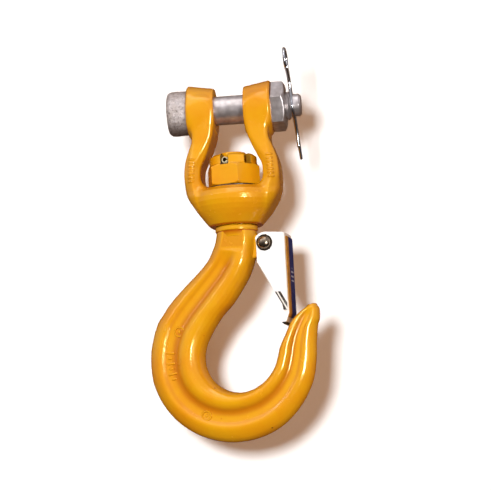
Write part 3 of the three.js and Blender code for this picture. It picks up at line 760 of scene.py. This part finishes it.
def groove_shade(t):
    """Painted shade at each place across the section: down in the web's hollow, at the foot of the low ridge
    and on the neck's flat faces.
    """
    place = section_places(t)
    dip_shade = smoothstep(place, 0.37, 0.46) * (1 - smoothstep(place, 0.50, 0.60))
    dip_shade += 0.45 * smoothstep(place, 0.64, 0.69) * (1 - smoothstep(place, 0.69, 0.74))
    neck_shade = 0.5 * (1 - smoothstep(t, 0.075, 0.085)) * smoothstep(ROUND_SIDE, 0.86, 0.88) * (t > 0.012)
    return dip_shade * smoothstep(t, 0.09, 0.16) * (1 - smoothstep(t, 0.86, 0.97)) + neck_shade


rings, hollow = [], []
for i in range(HOOK_STEPS + 1):
    t = i / HOOK_STEPS
    line = inner_line[i] + (outer_line[i] - inner_line[i]) * ACROSS[:, None]
    height = hook_heights(t, half_line[i])
    height[0] = height[-1] = 0
    front = np.stack([line[:, 0], -height, line[:, 1]], -1)
    rear = np.stack([line[:, 0], height, line[:, 1]], -1)
    rings.append(np.concatenate([front, rear[1:-1][::-1]]))
    # The hollow attribute carries the painted shade in the grooves and on the neck.
    dip_shade = groove_shade(t)
    hollow.append(np.concatenate([dip_shade, dip_shade[1:-1][::-1]]))
rings = np.array(rings)
# A rounded end on the point.
tip, before = rings[-1].mean(0), rings[-6].mean(0)
ahead = (tip - before) / np.linalg.norm(tip - before)
dome = [tip + (rings[-1] - tip) * math.cos(a) + ahead * 1.6 * math.sin(a)
        for a in np.linspace(0.25, 1.45, 7)]
hook_body = skin(np.concatenate([rings, dome]))
hook_front = rings[:, : len(ACROSS)].reshape(-1, 3)


def thread(h, t, pitch, start, end, slope):
    """A screw thread from 0 on its crest to 1 in its root, which starts and ends gently."""
    turn = (h / pitch - t / (2 * math.pi)) % 1
    on = smoothstep(h, *start) * (1 - smoothstep(h, *end))
    return on * np.clip(slope / 2 - slope * np.abs(turn - 0.5), 0, 1)


def along(a, b, step):
    """Points down a straight stretch of a profile."""
    n = max(2, int(np.linalg.norm(np.subtract(b, a)) / step))
    return [tuple(np.add(a, np.subtract(b, a) * k / n)) for k in range(n + 1)]


spindle = lathe(
    [(0, -88.5), (12.2, -88.5), (13.2, -85.2)]
    + list(rounded([(13.2, -85.2), (13.5, -84.7), (14.5, -84.5), (14.5, -81.3), (12.5, -81.3)], 0.8, 5))
    + [(12.5, -67.6), (11.5, -66.6), (10, -66.6), (10, -58)]
    + along((10, -57.5), (10, -31.9), 0.25)
    + [(8.6, -30.5), (8.2, -30.4), (0, -30.4)],
    bump=lambda r, h, t: -0.9 * thread(h, t, 2.5, (-57, -56.2), (-31.8, -31), 2.3), segments=72,
)


def slab(outline, low, high, bevel):
    """A plate in X and Z between two Y values with bevelled rims; the outline runs clockwise."""
    p = np.asarray(outline, float)
    edge = np.roll(p, -1, 0) - p
    edge /= np.linalg.norm(edge, axis=1)[:, None]
    side = np.stack([edge[:, 1], -edge[:, 0]], -1)
    out = side + np.roll(side, 1, 0)
    out /= np.maximum((out**2).sum(1), 0.8)[:, None] / 2
    inset = p + out * bevel
    rings = [(inset, low), (p, low + bevel), (p, high - bevel), (inset, high)]
    verts = np.concatenate([np.insert(q, 1, y, axis=1) for q, y in rings])
    n = len(p)
    return verts, grid_faces(4, n) + [list(range(n)), list(range(3 * n, 4 * n))[::-1]]


def arc(centre, radius, first, last, steps):
    turn = np.radians(np.linspace(first, last, steps + 1))
    return [(centre[0] + radius * math.cos(a), centre[1] + radius * math.sin(a)) for a in turn]


lug = slab([(4, -87), (16, -88.2)] + arc(PIVOT, 6.3, 80, -75, 20) + [(4, -106)], -4.8, 4.8, 0.8)
verts, faces = join([hook_body, spindle, lug])
hollow = np.concatenate(hollow + [np.zeros(len(verts) - rings.shape[0] * rings.shape[1])])
# Painted shade along the gap between the collar and the bell.
collar_gap_shade = (np.hypot(verts[:, 0], verts[:, 1]) < 14.6) & (np.abs(verts[:, 2] + 84.9) < 0.35)
hollow = np.where(collar_gap_shade, 1.5, hollow)
hook = mesh_piece("hook_forging", verts, faces, PAINT, "hook", "painted_steel", sharp=38, turn=HOOK_TURN,
                  hollow=hollow)
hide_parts("hook")


MARK_SIDES = 28
PILL_FOOT, HOOP_FOOT = 1.2, 1.0  # how far the marks reach into the hook


def pill(place, turn, length, wide, proud):
    """A low rounded bar standing proud of the front surface at place, turned in X and Z."""
    rings = []
    around = np.linspace(0, 2 * math.pi, MARK_SIDES, endpoint=False)
    c, s = math.cos(turn), math.sin(turn)
    for size, y in ((1.0, PILL_FOOT), (1.0, -proud * 0.45), (0.86, -proud * 0.85), (0.6, -proud)):
        a = np.cos(around) * wide * size / 2 + np.sign(np.cos(around)) * max(length - wide, 0) / 2
        b = np.sin(around) * wide * size / 2
        rings.append(np.stack([a * c - b * s, np.full(MARK_SIDES, y), a * s + b * c], -1) + place)
    return skin(rings)


def on_hook(angle, radius):
    """The point of the hook's front face at an angle and radius round the bowl."""
    x, z = radius * math.cos(math.radians(angle)), BOWL_Z + radius * math.sin(math.radians(angle))
    near = np.argsort(np.hypot(hook_front[:, 0] - x, hook_front[:, 2] - z))[:4]
    return np.array([x, hook_front[near, 1].mean(), z])


def hoop(place, size, thick, proud):
    """A low raised ring standing proud of the front surface."""
    turn = np.linspace(0, 2 * math.pi, MARK_SIDES, endpoint=False)
    profile = [(-0.5, HOOP_FOOT), (-0.5, -0.5 * proud), (-0.25, -0.95 * proud),
               (0.25, -0.95 * proud), (0.5, -0.5 * proud), (0.5, HOOP_FOOT)]
    rows = [np.stack([(size + thick * a) * np.cos(turn), np.full(MARK_SIDES, y),
                      (size + thick * a) * np.sin(turn)], -1) + place for a, y in profile]
    return skin(rows, closed=True)


def hook_marks():
    """Plain raised bars, rings and dots where the forging carries its marks, with painted shade round their
    feet.
    """
    parts, foot_shade = [], []
    hoop_foot_shade = np.repeat([1, 1, 0.0, 0.0, 1, 1], MARK_SIDES)
    pill_foot_shade = np.repeat([1, 1, 0.3, 0.0], MARK_SIDES)
    for angle, radius in ((157, 45.0), (238, 47.5)):
        parts.append(hoop(on_hook(angle, radius), 3.1, 1.2, 0.95))
        parts.append(pill(on_hook(angle, radius), 0, 2.0, 2.0, 0.9))
        foot_shade += [hoop_foot_shade, pill_foot_shade]
    for k in range(6):
        angle = 176 + 4.2 * k
        parts.append(pill(on_hook(angle, 48.6), math.radians(angle), (6.2, 3.4)[k % 2], 1.5, 0.95))
        foot_shade.append(pill_foot_shade)
    # Painted shade round the marks' feet, passed to the paint as the hollow attribute.
    shade_amount = [np.pad(foot, (0, len(part[0]) - len(foot))) for foot, part in zip(foot_shade, parts)]
    return *join(parts), np.concatenate(shade_amount)


verts, faces, foot_shade = hook_marks()
mesh_piece("hook_marks", verts, faces, PAINT, "hook", "painted_steel", sharp=50, turn=HOOK_TURN, hollow=foot_shade)


# ---------------------------------------------------------------- castle nut and roll pin
def toward(angle):
    """A direction in X and Y, from -Y towards +X."""
    return math.sin(angle), -math.cos(angle)


CASTLE_FLATS, CASTLE_HOLE_R, SLOT_HALF = 16.5, 10.3, 2.45


def castle_field(x, y, z):
    r = np.hypot(x, y)
    envelope = polygon(r, z, [(PAST, CASTLE_BOTTOM), (17, CASTLE_BOTTOM), (19.6, CASTLE_BOTTOM + 1.5),
                              (19.6, HEX_TOP - 2.3), (16.9, HEX_TOP), (PAST, HEX_TOP)])
    d = smax(hexagon(x, y, SLOT_TURN, CASTLE_FLATS), envelope, 0.5)
    crown = polygon(r, z, [(PAST, HEX_TOP - 3), (15.7, HEX_TOP - 3), (15.7, CASTLE_TOP - 1.9),
                           (13.9, CASTLE_TOP - 0.5), (PAST, CASTLE_TOP - 0.5)]) - 0.5
    d = smin(d, crown, 0.9)
    for k in range(3):
        nx, ny = toward(SLOT_TURN + math.radians(60 * k))
        d = smax(d, -box2(x * ny - y * nx, z, 0, HEX_TOP + 10, SLOT_HALF, 10, 1.2), 0.6)
    return smax(d, CASTLE_HOLE_R - r, 0.9)


NUT_STEP = 0.34
verts, faces, normals = field_mesh(castle_field, (-20, -20, CASTLE_BOTTOM), (20, 20, CASTLE_TOP), NUT_STEP)
castle = mesh_piece("castle_nut_forged", verts, faces, NUT_PAINT, "hook", "painted_steel", normals=normals)
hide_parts("castle_nut")


def roll_pin_mesh():
    """A sprung tube with a slit along it and bevelled ends, lying in the castle nut's slot."""
    slit, half_length, bevel, count = math.radians(16), 15.7, 0.5, 45
    turn = np.linspace(slit, 2 * math.pi - slit, count)
    there_and_back = np.concatenate([turn, turn[::-1]])
    nx, ny = toward(SLOT_TURN)
    rows = []
    for at, outer, inner in ((-half_length, 1.85, 1.55), (-half_length + bevel, 2.2, 1.3),
                             (half_length - bevel, 2.2, 1.3), (half_length, 1.85, 1.55)):
        size = np.repeat([outer, inner], count)
        across, rise = size * np.cos(there_and_back), size * np.sin(there_and_back)
        rows.append(np.stack([nx * at - ny * across, ny * at + nx * across, ROLL_PIN_Z + rise], -1))
    faces = grid_faces(4, 2 * count)
    for base, way in ((0, 1), (6 * count, -1)):
        for i in range(count - 1):
            j = 2 * count - 1 - i
            faces.append([base + i, base + i + 1, base + j - 1, base + j][::way])
    return np.concatenate(rows), faces


pin = mesh_piece("roll_pin_sprung", *roll_pin_mesh(), PIN_STEEL, "hook", "spring_steel", sharp=35)
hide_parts("roll_pin")


# ---------------------------------------------------------------- thrust bearing
RACE_IN, RACE_OUT, RACE_THICK = 10.6, 18.0, 3.6
BALL_R, BALL_CIRCLE = 2.6, 14.2
LOWER_RACE = POCKET_FLOOR + 0.3
UPPER_RACE = CASTLE_BOTTOM - 0.3 - RACE_THICK
BALL_Z = (LOWER_RACE + CASTLE_BOTTOM - 0.3) / 2


def race_mesh(back_face, track_face):
    """A washer with a ball track turned in one face."""
    reach = BALL_Z - track_face
    track_r = BALL_R + 0.25
    spread = math.asin(math.sqrt(track_r**2 - reach**2) / track_r)
    rise = -math.copysign(track_r, reach)
    groove = [(BALL_CIRCLE + track_r * math.sin(a), BALL_Z + rise * math.cos(a))
              for a in np.linspace(-spread, spread, 13)]
    e = 0.4 * (1 if track_face > back_face else -1)
    profile = [(RACE_IN, back_face + e), (RACE_IN, track_face - e), (RACE_IN + 0.4, track_face)] + groove
    profile += [(RACE_OUT - 0.4, track_face), (RACE_OUT, track_face - e), (RACE_OUT, back_face + e),
                (RACE_OUT - 0.4, back_face), (RACE_IN + 0.4, back_face)]
    return lathe(profile + profile[:1])


for name, body, faces_z in (("lower_race", "jaw", (LOWER_RACE, LOWER_RACE + RACE_THICK)),
                            ("upper_race", "hook", (UPPER_RACE + RACE_THICK, UPPER_RACE))):
    race = mesh_piece(name + "_turned", *race_mesh(*faces_z), BEARING, body, "bearing_steel")
    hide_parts(name)
for k in range(12):
    angle = math.radians(30 * k)
    centre = (BALL_CIRCLE * math.cos(angle), BALL_CIRCLE * math.sin(angle))
    profile = [(BALL_R * math.sin(a), BALL_Z - BALL_R * math.cos(a)) for a in np.linspace(0, math.pi, 15)]
    profile[0], profile[-1] = (0.001, profile[0][1]), (0.001, profile[-1][1])
    turned = lathe(profile, segments=24, at=centre)
    ball = mesh_piece(f"steel_ball_{k + 1:02d}", *turned, BEARING, "cage", "bearing_steel")
    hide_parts(f"ball_{k + 1:02d}")
cage = bpy.data.objects["ball_cage"]
cage.data.materials.clear()
cage.data.materials.append(BRASS)


# ---------------------------------------------------------------- clevis bolt, its nut and the clip
BOLT_R, HEAD_R = 9.9, 15.3


def bolt_ripple(r, h, t):
    """A cast-like skin on the head and a thread up to the pilot."""
    out = np.zeros(r.shape)
    for i, j in np.argwhere((h < HEAD_FACE + 0.01) & (r > BOLT_R + 0.5)):
        p = Vector((h[i, j], r[i, j] * math.cos(t[i, j]), r[i, j] * math.sin(t[i, j])))
        out[i, j] = 0.20 * noise.noise(p * 0.42) + 0.13 * noise.noise(p * 0.95) + 0.06 * noise.noise(p * 2.0)
    end = (PILOT_START - 1.6, PILOT_START - 1.0)
    return out - 0.95 * (r > BOLT_R - 0.5) * thread(h, t, 1.75, (29.5, 31.0), end, 2.4)


head_side = rounded([(9, HEAD_END), (13.7, HEAD_END), (HEAD_R, HEAD_END + 2.2), (HEAD_R, HEAD_FACE - 0.6),
                     (14.7, HEAD_FACE)], [0, 1.6, 2.6, 0.4, 0], 5)
profile = [(0, HEAD_END), (4, HEAD_END), (7, HEAD_END), (9, HEAD_END)]
for a, b in zip(head_side[:-1], head_side[1:]):
    profile += along(a, b, 0.7)[1:]
profile += along((14.7, HEAD_FACE), (10.4, HEAD_FACE), 1.0)[1:]
profile += [(BOLT_R, HEAD_FACE + 0.3), (BOLT_R, 27.5)]
profile += along((BOLT_R, 28), (BOLT_R, PILOT_START - 1), 0.16)
profile += [(BOLT_R - 1, PILOT_START)]
profile += list(rounded([(PILOT_R, PILOT_START + 0.1), (PILOT_R, BOLT_END - 1.4), (PILOT_R - 1.4, BOLT_END),
                         (0, BOLT_END)], 0.3, 3))
turned = lathe(profile, "x", 128, bump=bolt_ripple)
bolt = mesh_piece("clevis_bolt_forged", *turned, ZINC_HEAD, "bolt", "galvanised", sharp=32)
bolt.data.materials.append(ZINC)
centres = np.array([p.center.x for p in bolt.data.polygons])
bolt.data.polygons.foreach_set("material_index", (centres > (HEAD_FACE + 0.2) * MM).astype(np.int32))
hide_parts("clevis_bolt")


NUT_TURN, NUT_FLATS, NUT_HOLE_R = math.radians(17.5), 15.0, 10.2


def bolt_nut_field(x, y, z):
    r = np.hypot(y, z)
    envelope = polygon(x, r, [(NUT_START, PAST), (NUT_START, 16.9), (NUT_START + 0.8, 18),
                              (NUT_END - 1.9, 18), (NUT_END, 14.6), (NUT_END, PAST)])
    d = smax(hexagon(-z, y, NUT_TURN, NUT_FLATS), envelope, 0.5)
    bore = r - NUT_HOLE_R - np.clip(x - NUT_END + 1.0, 0, 1.0) - np.clip(NUT_START + 1.0 - x, 0, 1.0)
    return smax(d, -bore, 0.3)


verts, faces, normals = field_mesh(bolt_nut_field, (NUT_START, -18.2, -18.2), (NUT_END, 18.2, 18.2), NUT_STEP)
nut = mesh_piece("bolt_nut_forged", verts, faces, ZINC, "bolt", "galvanised", normals=normals)
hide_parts("bolt_nut")


def clip_path():
    """The clip's wire: a straight leg through the bolt, an eye, and a leg that hugs the bolt."""
    hug = PILOT_R + WIRE_R + 0.6
    points = [(-37.5, 0), (-22, 0), (-8, 0), (8, 0), (18, 0)]
    points += arc((33.4, 4.2), 7.1, -140, 140, 10) + [(19.5, 3.6), (14.5, 4)]
    points += arc((0, 0), hug, 48, 132, 3) + [(-13.5, 3.8), (-19, 3.5), (-27.5, 5.6)]
    out = []
    for length, away in points:
        across, rise = length * math.sin(CLIP_TILT), length * math.cos(CLIP_TILT)
        out.append((CLIP_X - across, -away * math.cos(CLIP_LEAN) - rise * math.sin(CLIP_LEAN),
                    -away * math.sin(CLIP_LEAN) + rise * math.cos(CLIP_LEAN)))
    return spline(out, 260)


clip = mesh_piece("spring_clip_wire", *wire(clip_path(), WIRE_R, 16), WIRE, "bolt", "spring_steel", sharp=0)
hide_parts("spring_clip")


# ---------------------------------------------------------------- latch
SHEET, TONGUE_HALF, LATCH_HOLE_R = 2, 10.4, 2.9
LATCH_SIDE = ([(16.0, -94), (16.0, -107.6), (31.8, -137.4), (32.4, -141.2), (SPINE_X - 0.4, -141.2),
               (SPINE_X - 0.4, -89.3), (PIVOT[0] + 1.5, -88.1)] + arc(PIVOT, 7.1, 80, 150, 10))
TONGUE = [(35.1, -136), (35.1, -143.5), (32.8, -149.3), (31.9, -150.6), (30.5, -149.6), (31.4, -148.2),
          (33.5, -143), (33.5, -136)]


def latch_field(x, y, z):
    side = polygon(x, z, LATCH_SIDE) - 0.4
    folded = box2(x, y, 0, 0, SPINE_X, LATCH_HALF, 2.6)
    d = smax(side, folded, 0.5)
    hollow = box2(x, y, -SHEET, 0, SPINE_X, LATCH_HALF - SHEET, 1.2)
    d = smax(d, -hollow, 0.5)
    tongue = smax(polygon(x, z, TONGUE) - 0.35, np.abs(y) - TONGUE_HALF, 0.8)
    d = smin(d, tongue, 0.8)
    return smax(d, LATCH_HOLE_R - np.hypot(x - PIVOT[0], z - PIVOT[1]), 0.3)


LATCH_STEP = 0.4
verts, faces, normals = field_mesh(latch_field, (13, -12.2, -151.6), (36, 12.2, -87), LATCH_STEP)
latch = mesh_piece("latch_folded", verts, faces, WHITE, "latch", "latch_white", normals=normals,
                   turn=HOOK_TURN)
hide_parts("latch")


def label_mesh():
    """A thin sheet with rounded corners on the latch's back, bent with it at its lower end."""
    half_y, low, high, r = 10.2, -146.0, -91.2, 1.6
    bend, slope, thick, bevel = -143.5, 0.397, 0.5, 0.1
    corner = [(r * math.cos(a), half_y - r + r * math.sin(a)) for a in np.radians(range(0, 91, 15))]
    rows = [(high - r + rise, half) for rise, half in corner] + [(bend, half_y)]
    rows += [(low + r - rise, half) for rise, half in corner[::-1]]
    rings = []
    for z, half in rows:
        x = SPINE_X + 0.1 - slope * max(0, bend - z)
        outline = [(x, half), (x + thick - bevel, half), (x + thick, half - bevel),
                   (x + thick, bevel - half), (x + thick - bevel, -half), (x, -half)]
        rings.append([(px, py, z) for px, py in outline])
    return skin(np.array(rings))


label = mesh_piece("latch_sticker", *label_mesh(), LABEL, "latch", "label_vinyl", turn=HOOK_TURN)
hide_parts("latch_label")


# ---------------------------------------------------------------- latch pin, washers and spring
HEAD_Y = LATCH_HALF + 1.4
head = [(0, 3.1), (1.0, 3.02), (2.0, 2.72), (2.9, 2.25), (3.6, 1.6), (4.15, 0.8), (4.4, 0.15), (4.3, 0),
        (2.6, 0)]
profile = [(r, -HEAD_Y - rise) for r, rise in head] + [(r, HEAD_Y + rise) for r, rise in head[::-1]]
turned = lathe(profile, "y", 64, at=PIVOT)
rivet = mesh_piece("latch_rivet", *turned, RIVET, "hook", "galvanised", sharp=50, turn=HOOK_TURN)
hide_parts("latch_pin")
for side, name in ((-1, "front"), (1, "back")):
    near, far = LATCH_HALF + 0.2, LATCH_HALF + 1.2
    ring = [(2.9, near), (5.5, near), (5.5, far - 0.35), (5.15, far), (2.9, far), (2.9, near)]
    turned = lathe([(r, side * y) for r, y in ring], "y", 64, at=PIVOT)
    washer = mesh_piece(f"rivet_washer_{name}", *turned, DARK, "hook", "galvanised", sharp=35, turn=HOOK_TURN)
    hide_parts(f"latch_washer_{name}")


SPRING_WIRE_R = 0.5


def spring_path():
    """A leg behind the latch's back, three turns round the pin, and a leg on the hook's shank."""
    coil_r, pitch, start = 3.5, 1.08, 5.6
    on_latch, on_shank = np.array([SPINE_X - 2.9, -117]), np.array([13.4, -105.5])

    def leaves(end, side):
        away = end - PIVOT
        lean = math.acos(coil_r / np.linalg.norm(away))
        return math.atan2(away[1], away[0]) % (2 * math.pi) + side * lean

    first = leaves(on_latch, 1) - 2 * math.pi
    last = leaves(on_shank, -1) + 4 * math.pi
    places = [(on_latch[0], start, on_latch[1])]
    for k in range(61):
        a = first + (last - first) * k / 60
        away = start + (a - first) / (2 * math.pi) * pitch
        places.append((PIVOT[0] + coil_r * math.cos(a), away, PIVOT[1] + coil_r * math.sin(a)))
    places.append((on_shank[0], places[-1][1], on_shank[1]))
    return spline(places, 300)


swept = wire(spring_path(), SPRING_WIRE_R, 12)
spring = mesh_piece("latch_spring_wire", *swept, WIRE, None, None, sharp=0, turn=HOOK_TURN)
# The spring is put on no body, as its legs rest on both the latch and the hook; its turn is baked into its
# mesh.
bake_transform(spring)
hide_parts("latch_spring")


# ---------------------------------------------------------------- camera
def aim(obj, place, target, roll=0.0):
    """Puts a camera or light at a place, looking at the target, with a roll about its own axis."""
    obj.location = place
    obj.rotation_mode = "QUATERNION"
    look = (Vector(target) - Vector(place)).to_track_quat("-Z", "Y")
    obj.rotation_quaternion = look @ Quaternion((0, 0, 1), roll)


def around(azimuth, elevation, distance):
    """A place round the middle of the object; azimuth 0 is in front, towards -Y."""
    a, e = math.radians(azimuth), math.radians(elevation)
    way = Vector((math.sin(a) * math.cos(e), -math.cos(a) * math.cos(e), math.sin(e)))
    return MIDDLE + way * distance


MIDDLE = Vector((0, 0, -0.104))
AZIMUTH, ELEVATION, ROLL, DISTANCE = 6.5, -8.0, math.radians(-3.02), 1.41
back = (around(AZIMUTH, ELEVATION, 1) - MIDDLE).normalized()
right = Vector((math.cos(math.radians(AZIMUTH)), math.sin(math.radians(AZIMUTH)), 0))
up = back.cross(right)
# The picture's middle lies a little right of and above the object's middle.
aim_at = MIDDLE + right * 0.0054 + up * 0.0098
camera = bpy.data.objects.new("camera", bpy.data.cameras.new("camera"))
bpy.context.scene.collection.objects.link(camera)
camera.data.sensor_width, camera.data.lens = 36, 152.3
camera.data.clip_start, camera.data.clip_end = 0.05, 20
aim(camera, aim_at + back * DISTANCE, aim_at, ROLL)
bpy.context.scene.camera = camera


# ---------------------------------------------------------------- lights, backdrop and floor
def area(name, place, size, power, colour=(1, 1, 1), sheen=True, diffuse=True):
    """A soft light facing the object, seen in its sheen, in its diffuse light or in both."""
    light = bpy.data.lights.new(name, "AREA")
    light.shape, light.energy, light.color = "RECTANGLE", power, colour
    light.size, light.size_y = size
    obj = bpy.data.objects.new(name, light)
    bpy.context.scene.collection.objects.link(obj)
    aim(obj, place, MIDDLE)
    obj.visible_glossy = sheen
    obj.visible_diffuse = diffuse


area("key", around(-4, 2, 1.7), (0.25, 0.25), 31, (0.95, 1.0, 1.03), sheen=False)
area("side_right", around(52, 10, 1.5), (0.5, 0.5), 3, (1.0, 1.0, 0.9), sheen=False)
area("sparkle", around(31, -5, 1.3), (0.26, 0.24), 14, diffuse=False)
area("strip_left", around(-58, 30, 1.2), (0.08, 0.4), 0.9, diffuse=False)
area("top", around(10, 70, 1.2), (0.7, 0.4), 2.4, diffuse=False)
area("card", around(-20, 44, 1.3), (1.3, 0.6), 3.4, diffuse=False)
area("behind_left", around(-150, 25, 1.5), (0.5, 0.9), 5, sheen=False)
area("behind_right", around(155, 10, 1.5), (0.5, 0.9), 5, sheen=False)


def studio_world():
    """White to the camera, warm and dim as fill light, and a soft bright room in reflections."""
    world = bpy.data.worlds.new("studio")
    world.use_nodes = True
    tree = world.node_tree
    tree.nodes.clear()
    link = tree.links.new

    def add(kind, **values):
        node = tree.nodes.new("ShaderNode" + kind)
        for key, value in values.items():
            node.inputs[key.replace("_", " ")].default_value = value
        return node

    seen = add("Background", Color=(1, 1, 1, 1))
    fill = add("Background", Color=(1.0, 0.52, 0.28, 1))
    room = add("Background", Strength=0.65)
    way, split = add("TexCoord").outputs["Generated"], add("SeparateXYZ")
    link(way, split.inputs[0])
    # The fill comes from above and a little from the right, so the lower left edges are dark.
    lean = add("VectorMath")
    lean.operation = "DOT_PRODUCT"
    lean.inputs[1].default_value = (0.5, 0.0, 0.85)
    shade = add("MapRange", From_Min=-0.8, From_Max=0.8, To_Min=0.17, To_Max=0.50)
    link(way, lean.inputs[0])
    link(lean.outputs["Value"], shade.inputs["Value"])
    link(shade.outputs["Result"], fill.inputs["Strength"])
    # The room is dark below and bright above.
    height, ramp = add("MapRange", From_Min=-1), add("ValToRGB")
    link(split.outputs["Z"], height.inputs["Value"])
    link(height.outputs["Result"], ramp.inputs["Fac"])
    ends = ramp.color_ramp.elements
    ends[0].position, ends[0].color = 0.32, (0.06, 0.05, 0.045, 1)
    ends[1].position, ends[1].color = 0.62, (0.93, 0.92, 0.98, 1)
    ends.new(0.5).color = (0.42, 0.40, 0.40, 1)
    # Behind the object the room is dim and brown, like the shadow on the sheet there.
    behind, blend = add("MapRange", From_Min=0.15, From_Max=0.75), add("Mix")
    blend.data_type = "RGBA"
    blend.inputs[7].default_value = (0.20, 0.10, 0.05, 1)
    link(split.outputs["Y"], behind.inputs["Value"])
    link(behind.outputs["Result"], blend.inputs["Factor"])
    link(ramp.outputs["Color"], blend.inputs[6])
    link(blend.outputs[2], room.inputs["Color"])
    rays, last = add("LightPath"), fill
    for ray, background in (("Is Glossy Ray", room), ("Is Camera Ray", seen)):
        mixed = add("MixShader")
        link(rays.outputs[ray], mixed.inputs[0])
        link(last.outputs[0], mixed.inputs[1])
        link(background.outputs[0], mixed.inputs[2])
        last = mixed
    link(last.outputs[0], add("OutputWorld").inputs["Surface"])
    bpy.context.scene.world = world


def pale_screen(name, corners, glow=0.0):
    """A flat pale sheet that is seen from its front only, so it never hides the object from behind."""
    mesh = bpy.data.meshes.new(name)
    mesh.from_pydata(corners, [], [(0, 1, 2, 3)])
    n = Nodes(name)
    cloud = n.patches(3, 0.3, 0.7, 2)
    n.set(Base_Color=n.mix((0.93, 0.93, 0.93, 1), (0.95, 0.95, 0.95, 1), cloud), Roughness=0.9)
    n.set(Specular_IOR_Level=0.0, Emission_Color=(1, 1, 1, 1), Emission_Strength=glow)
    clear, mixed = n.add("ShaderNodeBsdfTransparent"), n.add("ShaderNodeMixShader")
    side = n.add("ShaderNodeNewGeometry")
    n.link(side.outputs["Backfacing"], mixed.inputs[0])
    n.link(n.shader.outputs[0], mixed.inputs[1])
    n.link(clear.outputs[0], mixed.inputs[2])
    n.link(mixed.outputs[0], n.tree.nodes["Material Output"].inputs["Surface"])
    mesh.materials.append(n.material)
    obj = bpy.data.objects.new(name, mesh)
    bpy.context.scene.collection.objects.link(obj)
    return obj


studio_world()
bpy.context.scene.view_settings.view_transform = "Standard"
BACKDROP_Y, FLOOR_Z, REACH = 0.068, -0.75, 3.0
backdrop = pale_screen("backdrop", [(-0.6, BACKDROP_Y, -0.7), (0.6, BACKDROP_Y, -0.7),
                                    (0.6, BACKDROP_Y, 0.5), (-0.6, BACKDROP_Y, 0.5)])
floor = pale_screen("floor", [(-REACH, -REACH, FLOOR_Z), (REACH, -REACH, FLOOR_Z),
                              (REACH, REACH, FLOOR_Z), (-REACH, REACH, FLOOR_Z)], glow=0.6)
for sheet in (backdrop, floor):
    sheet.visible_glossy = sheet.visible_diffuse = False
backdrop.visible_shadow = False
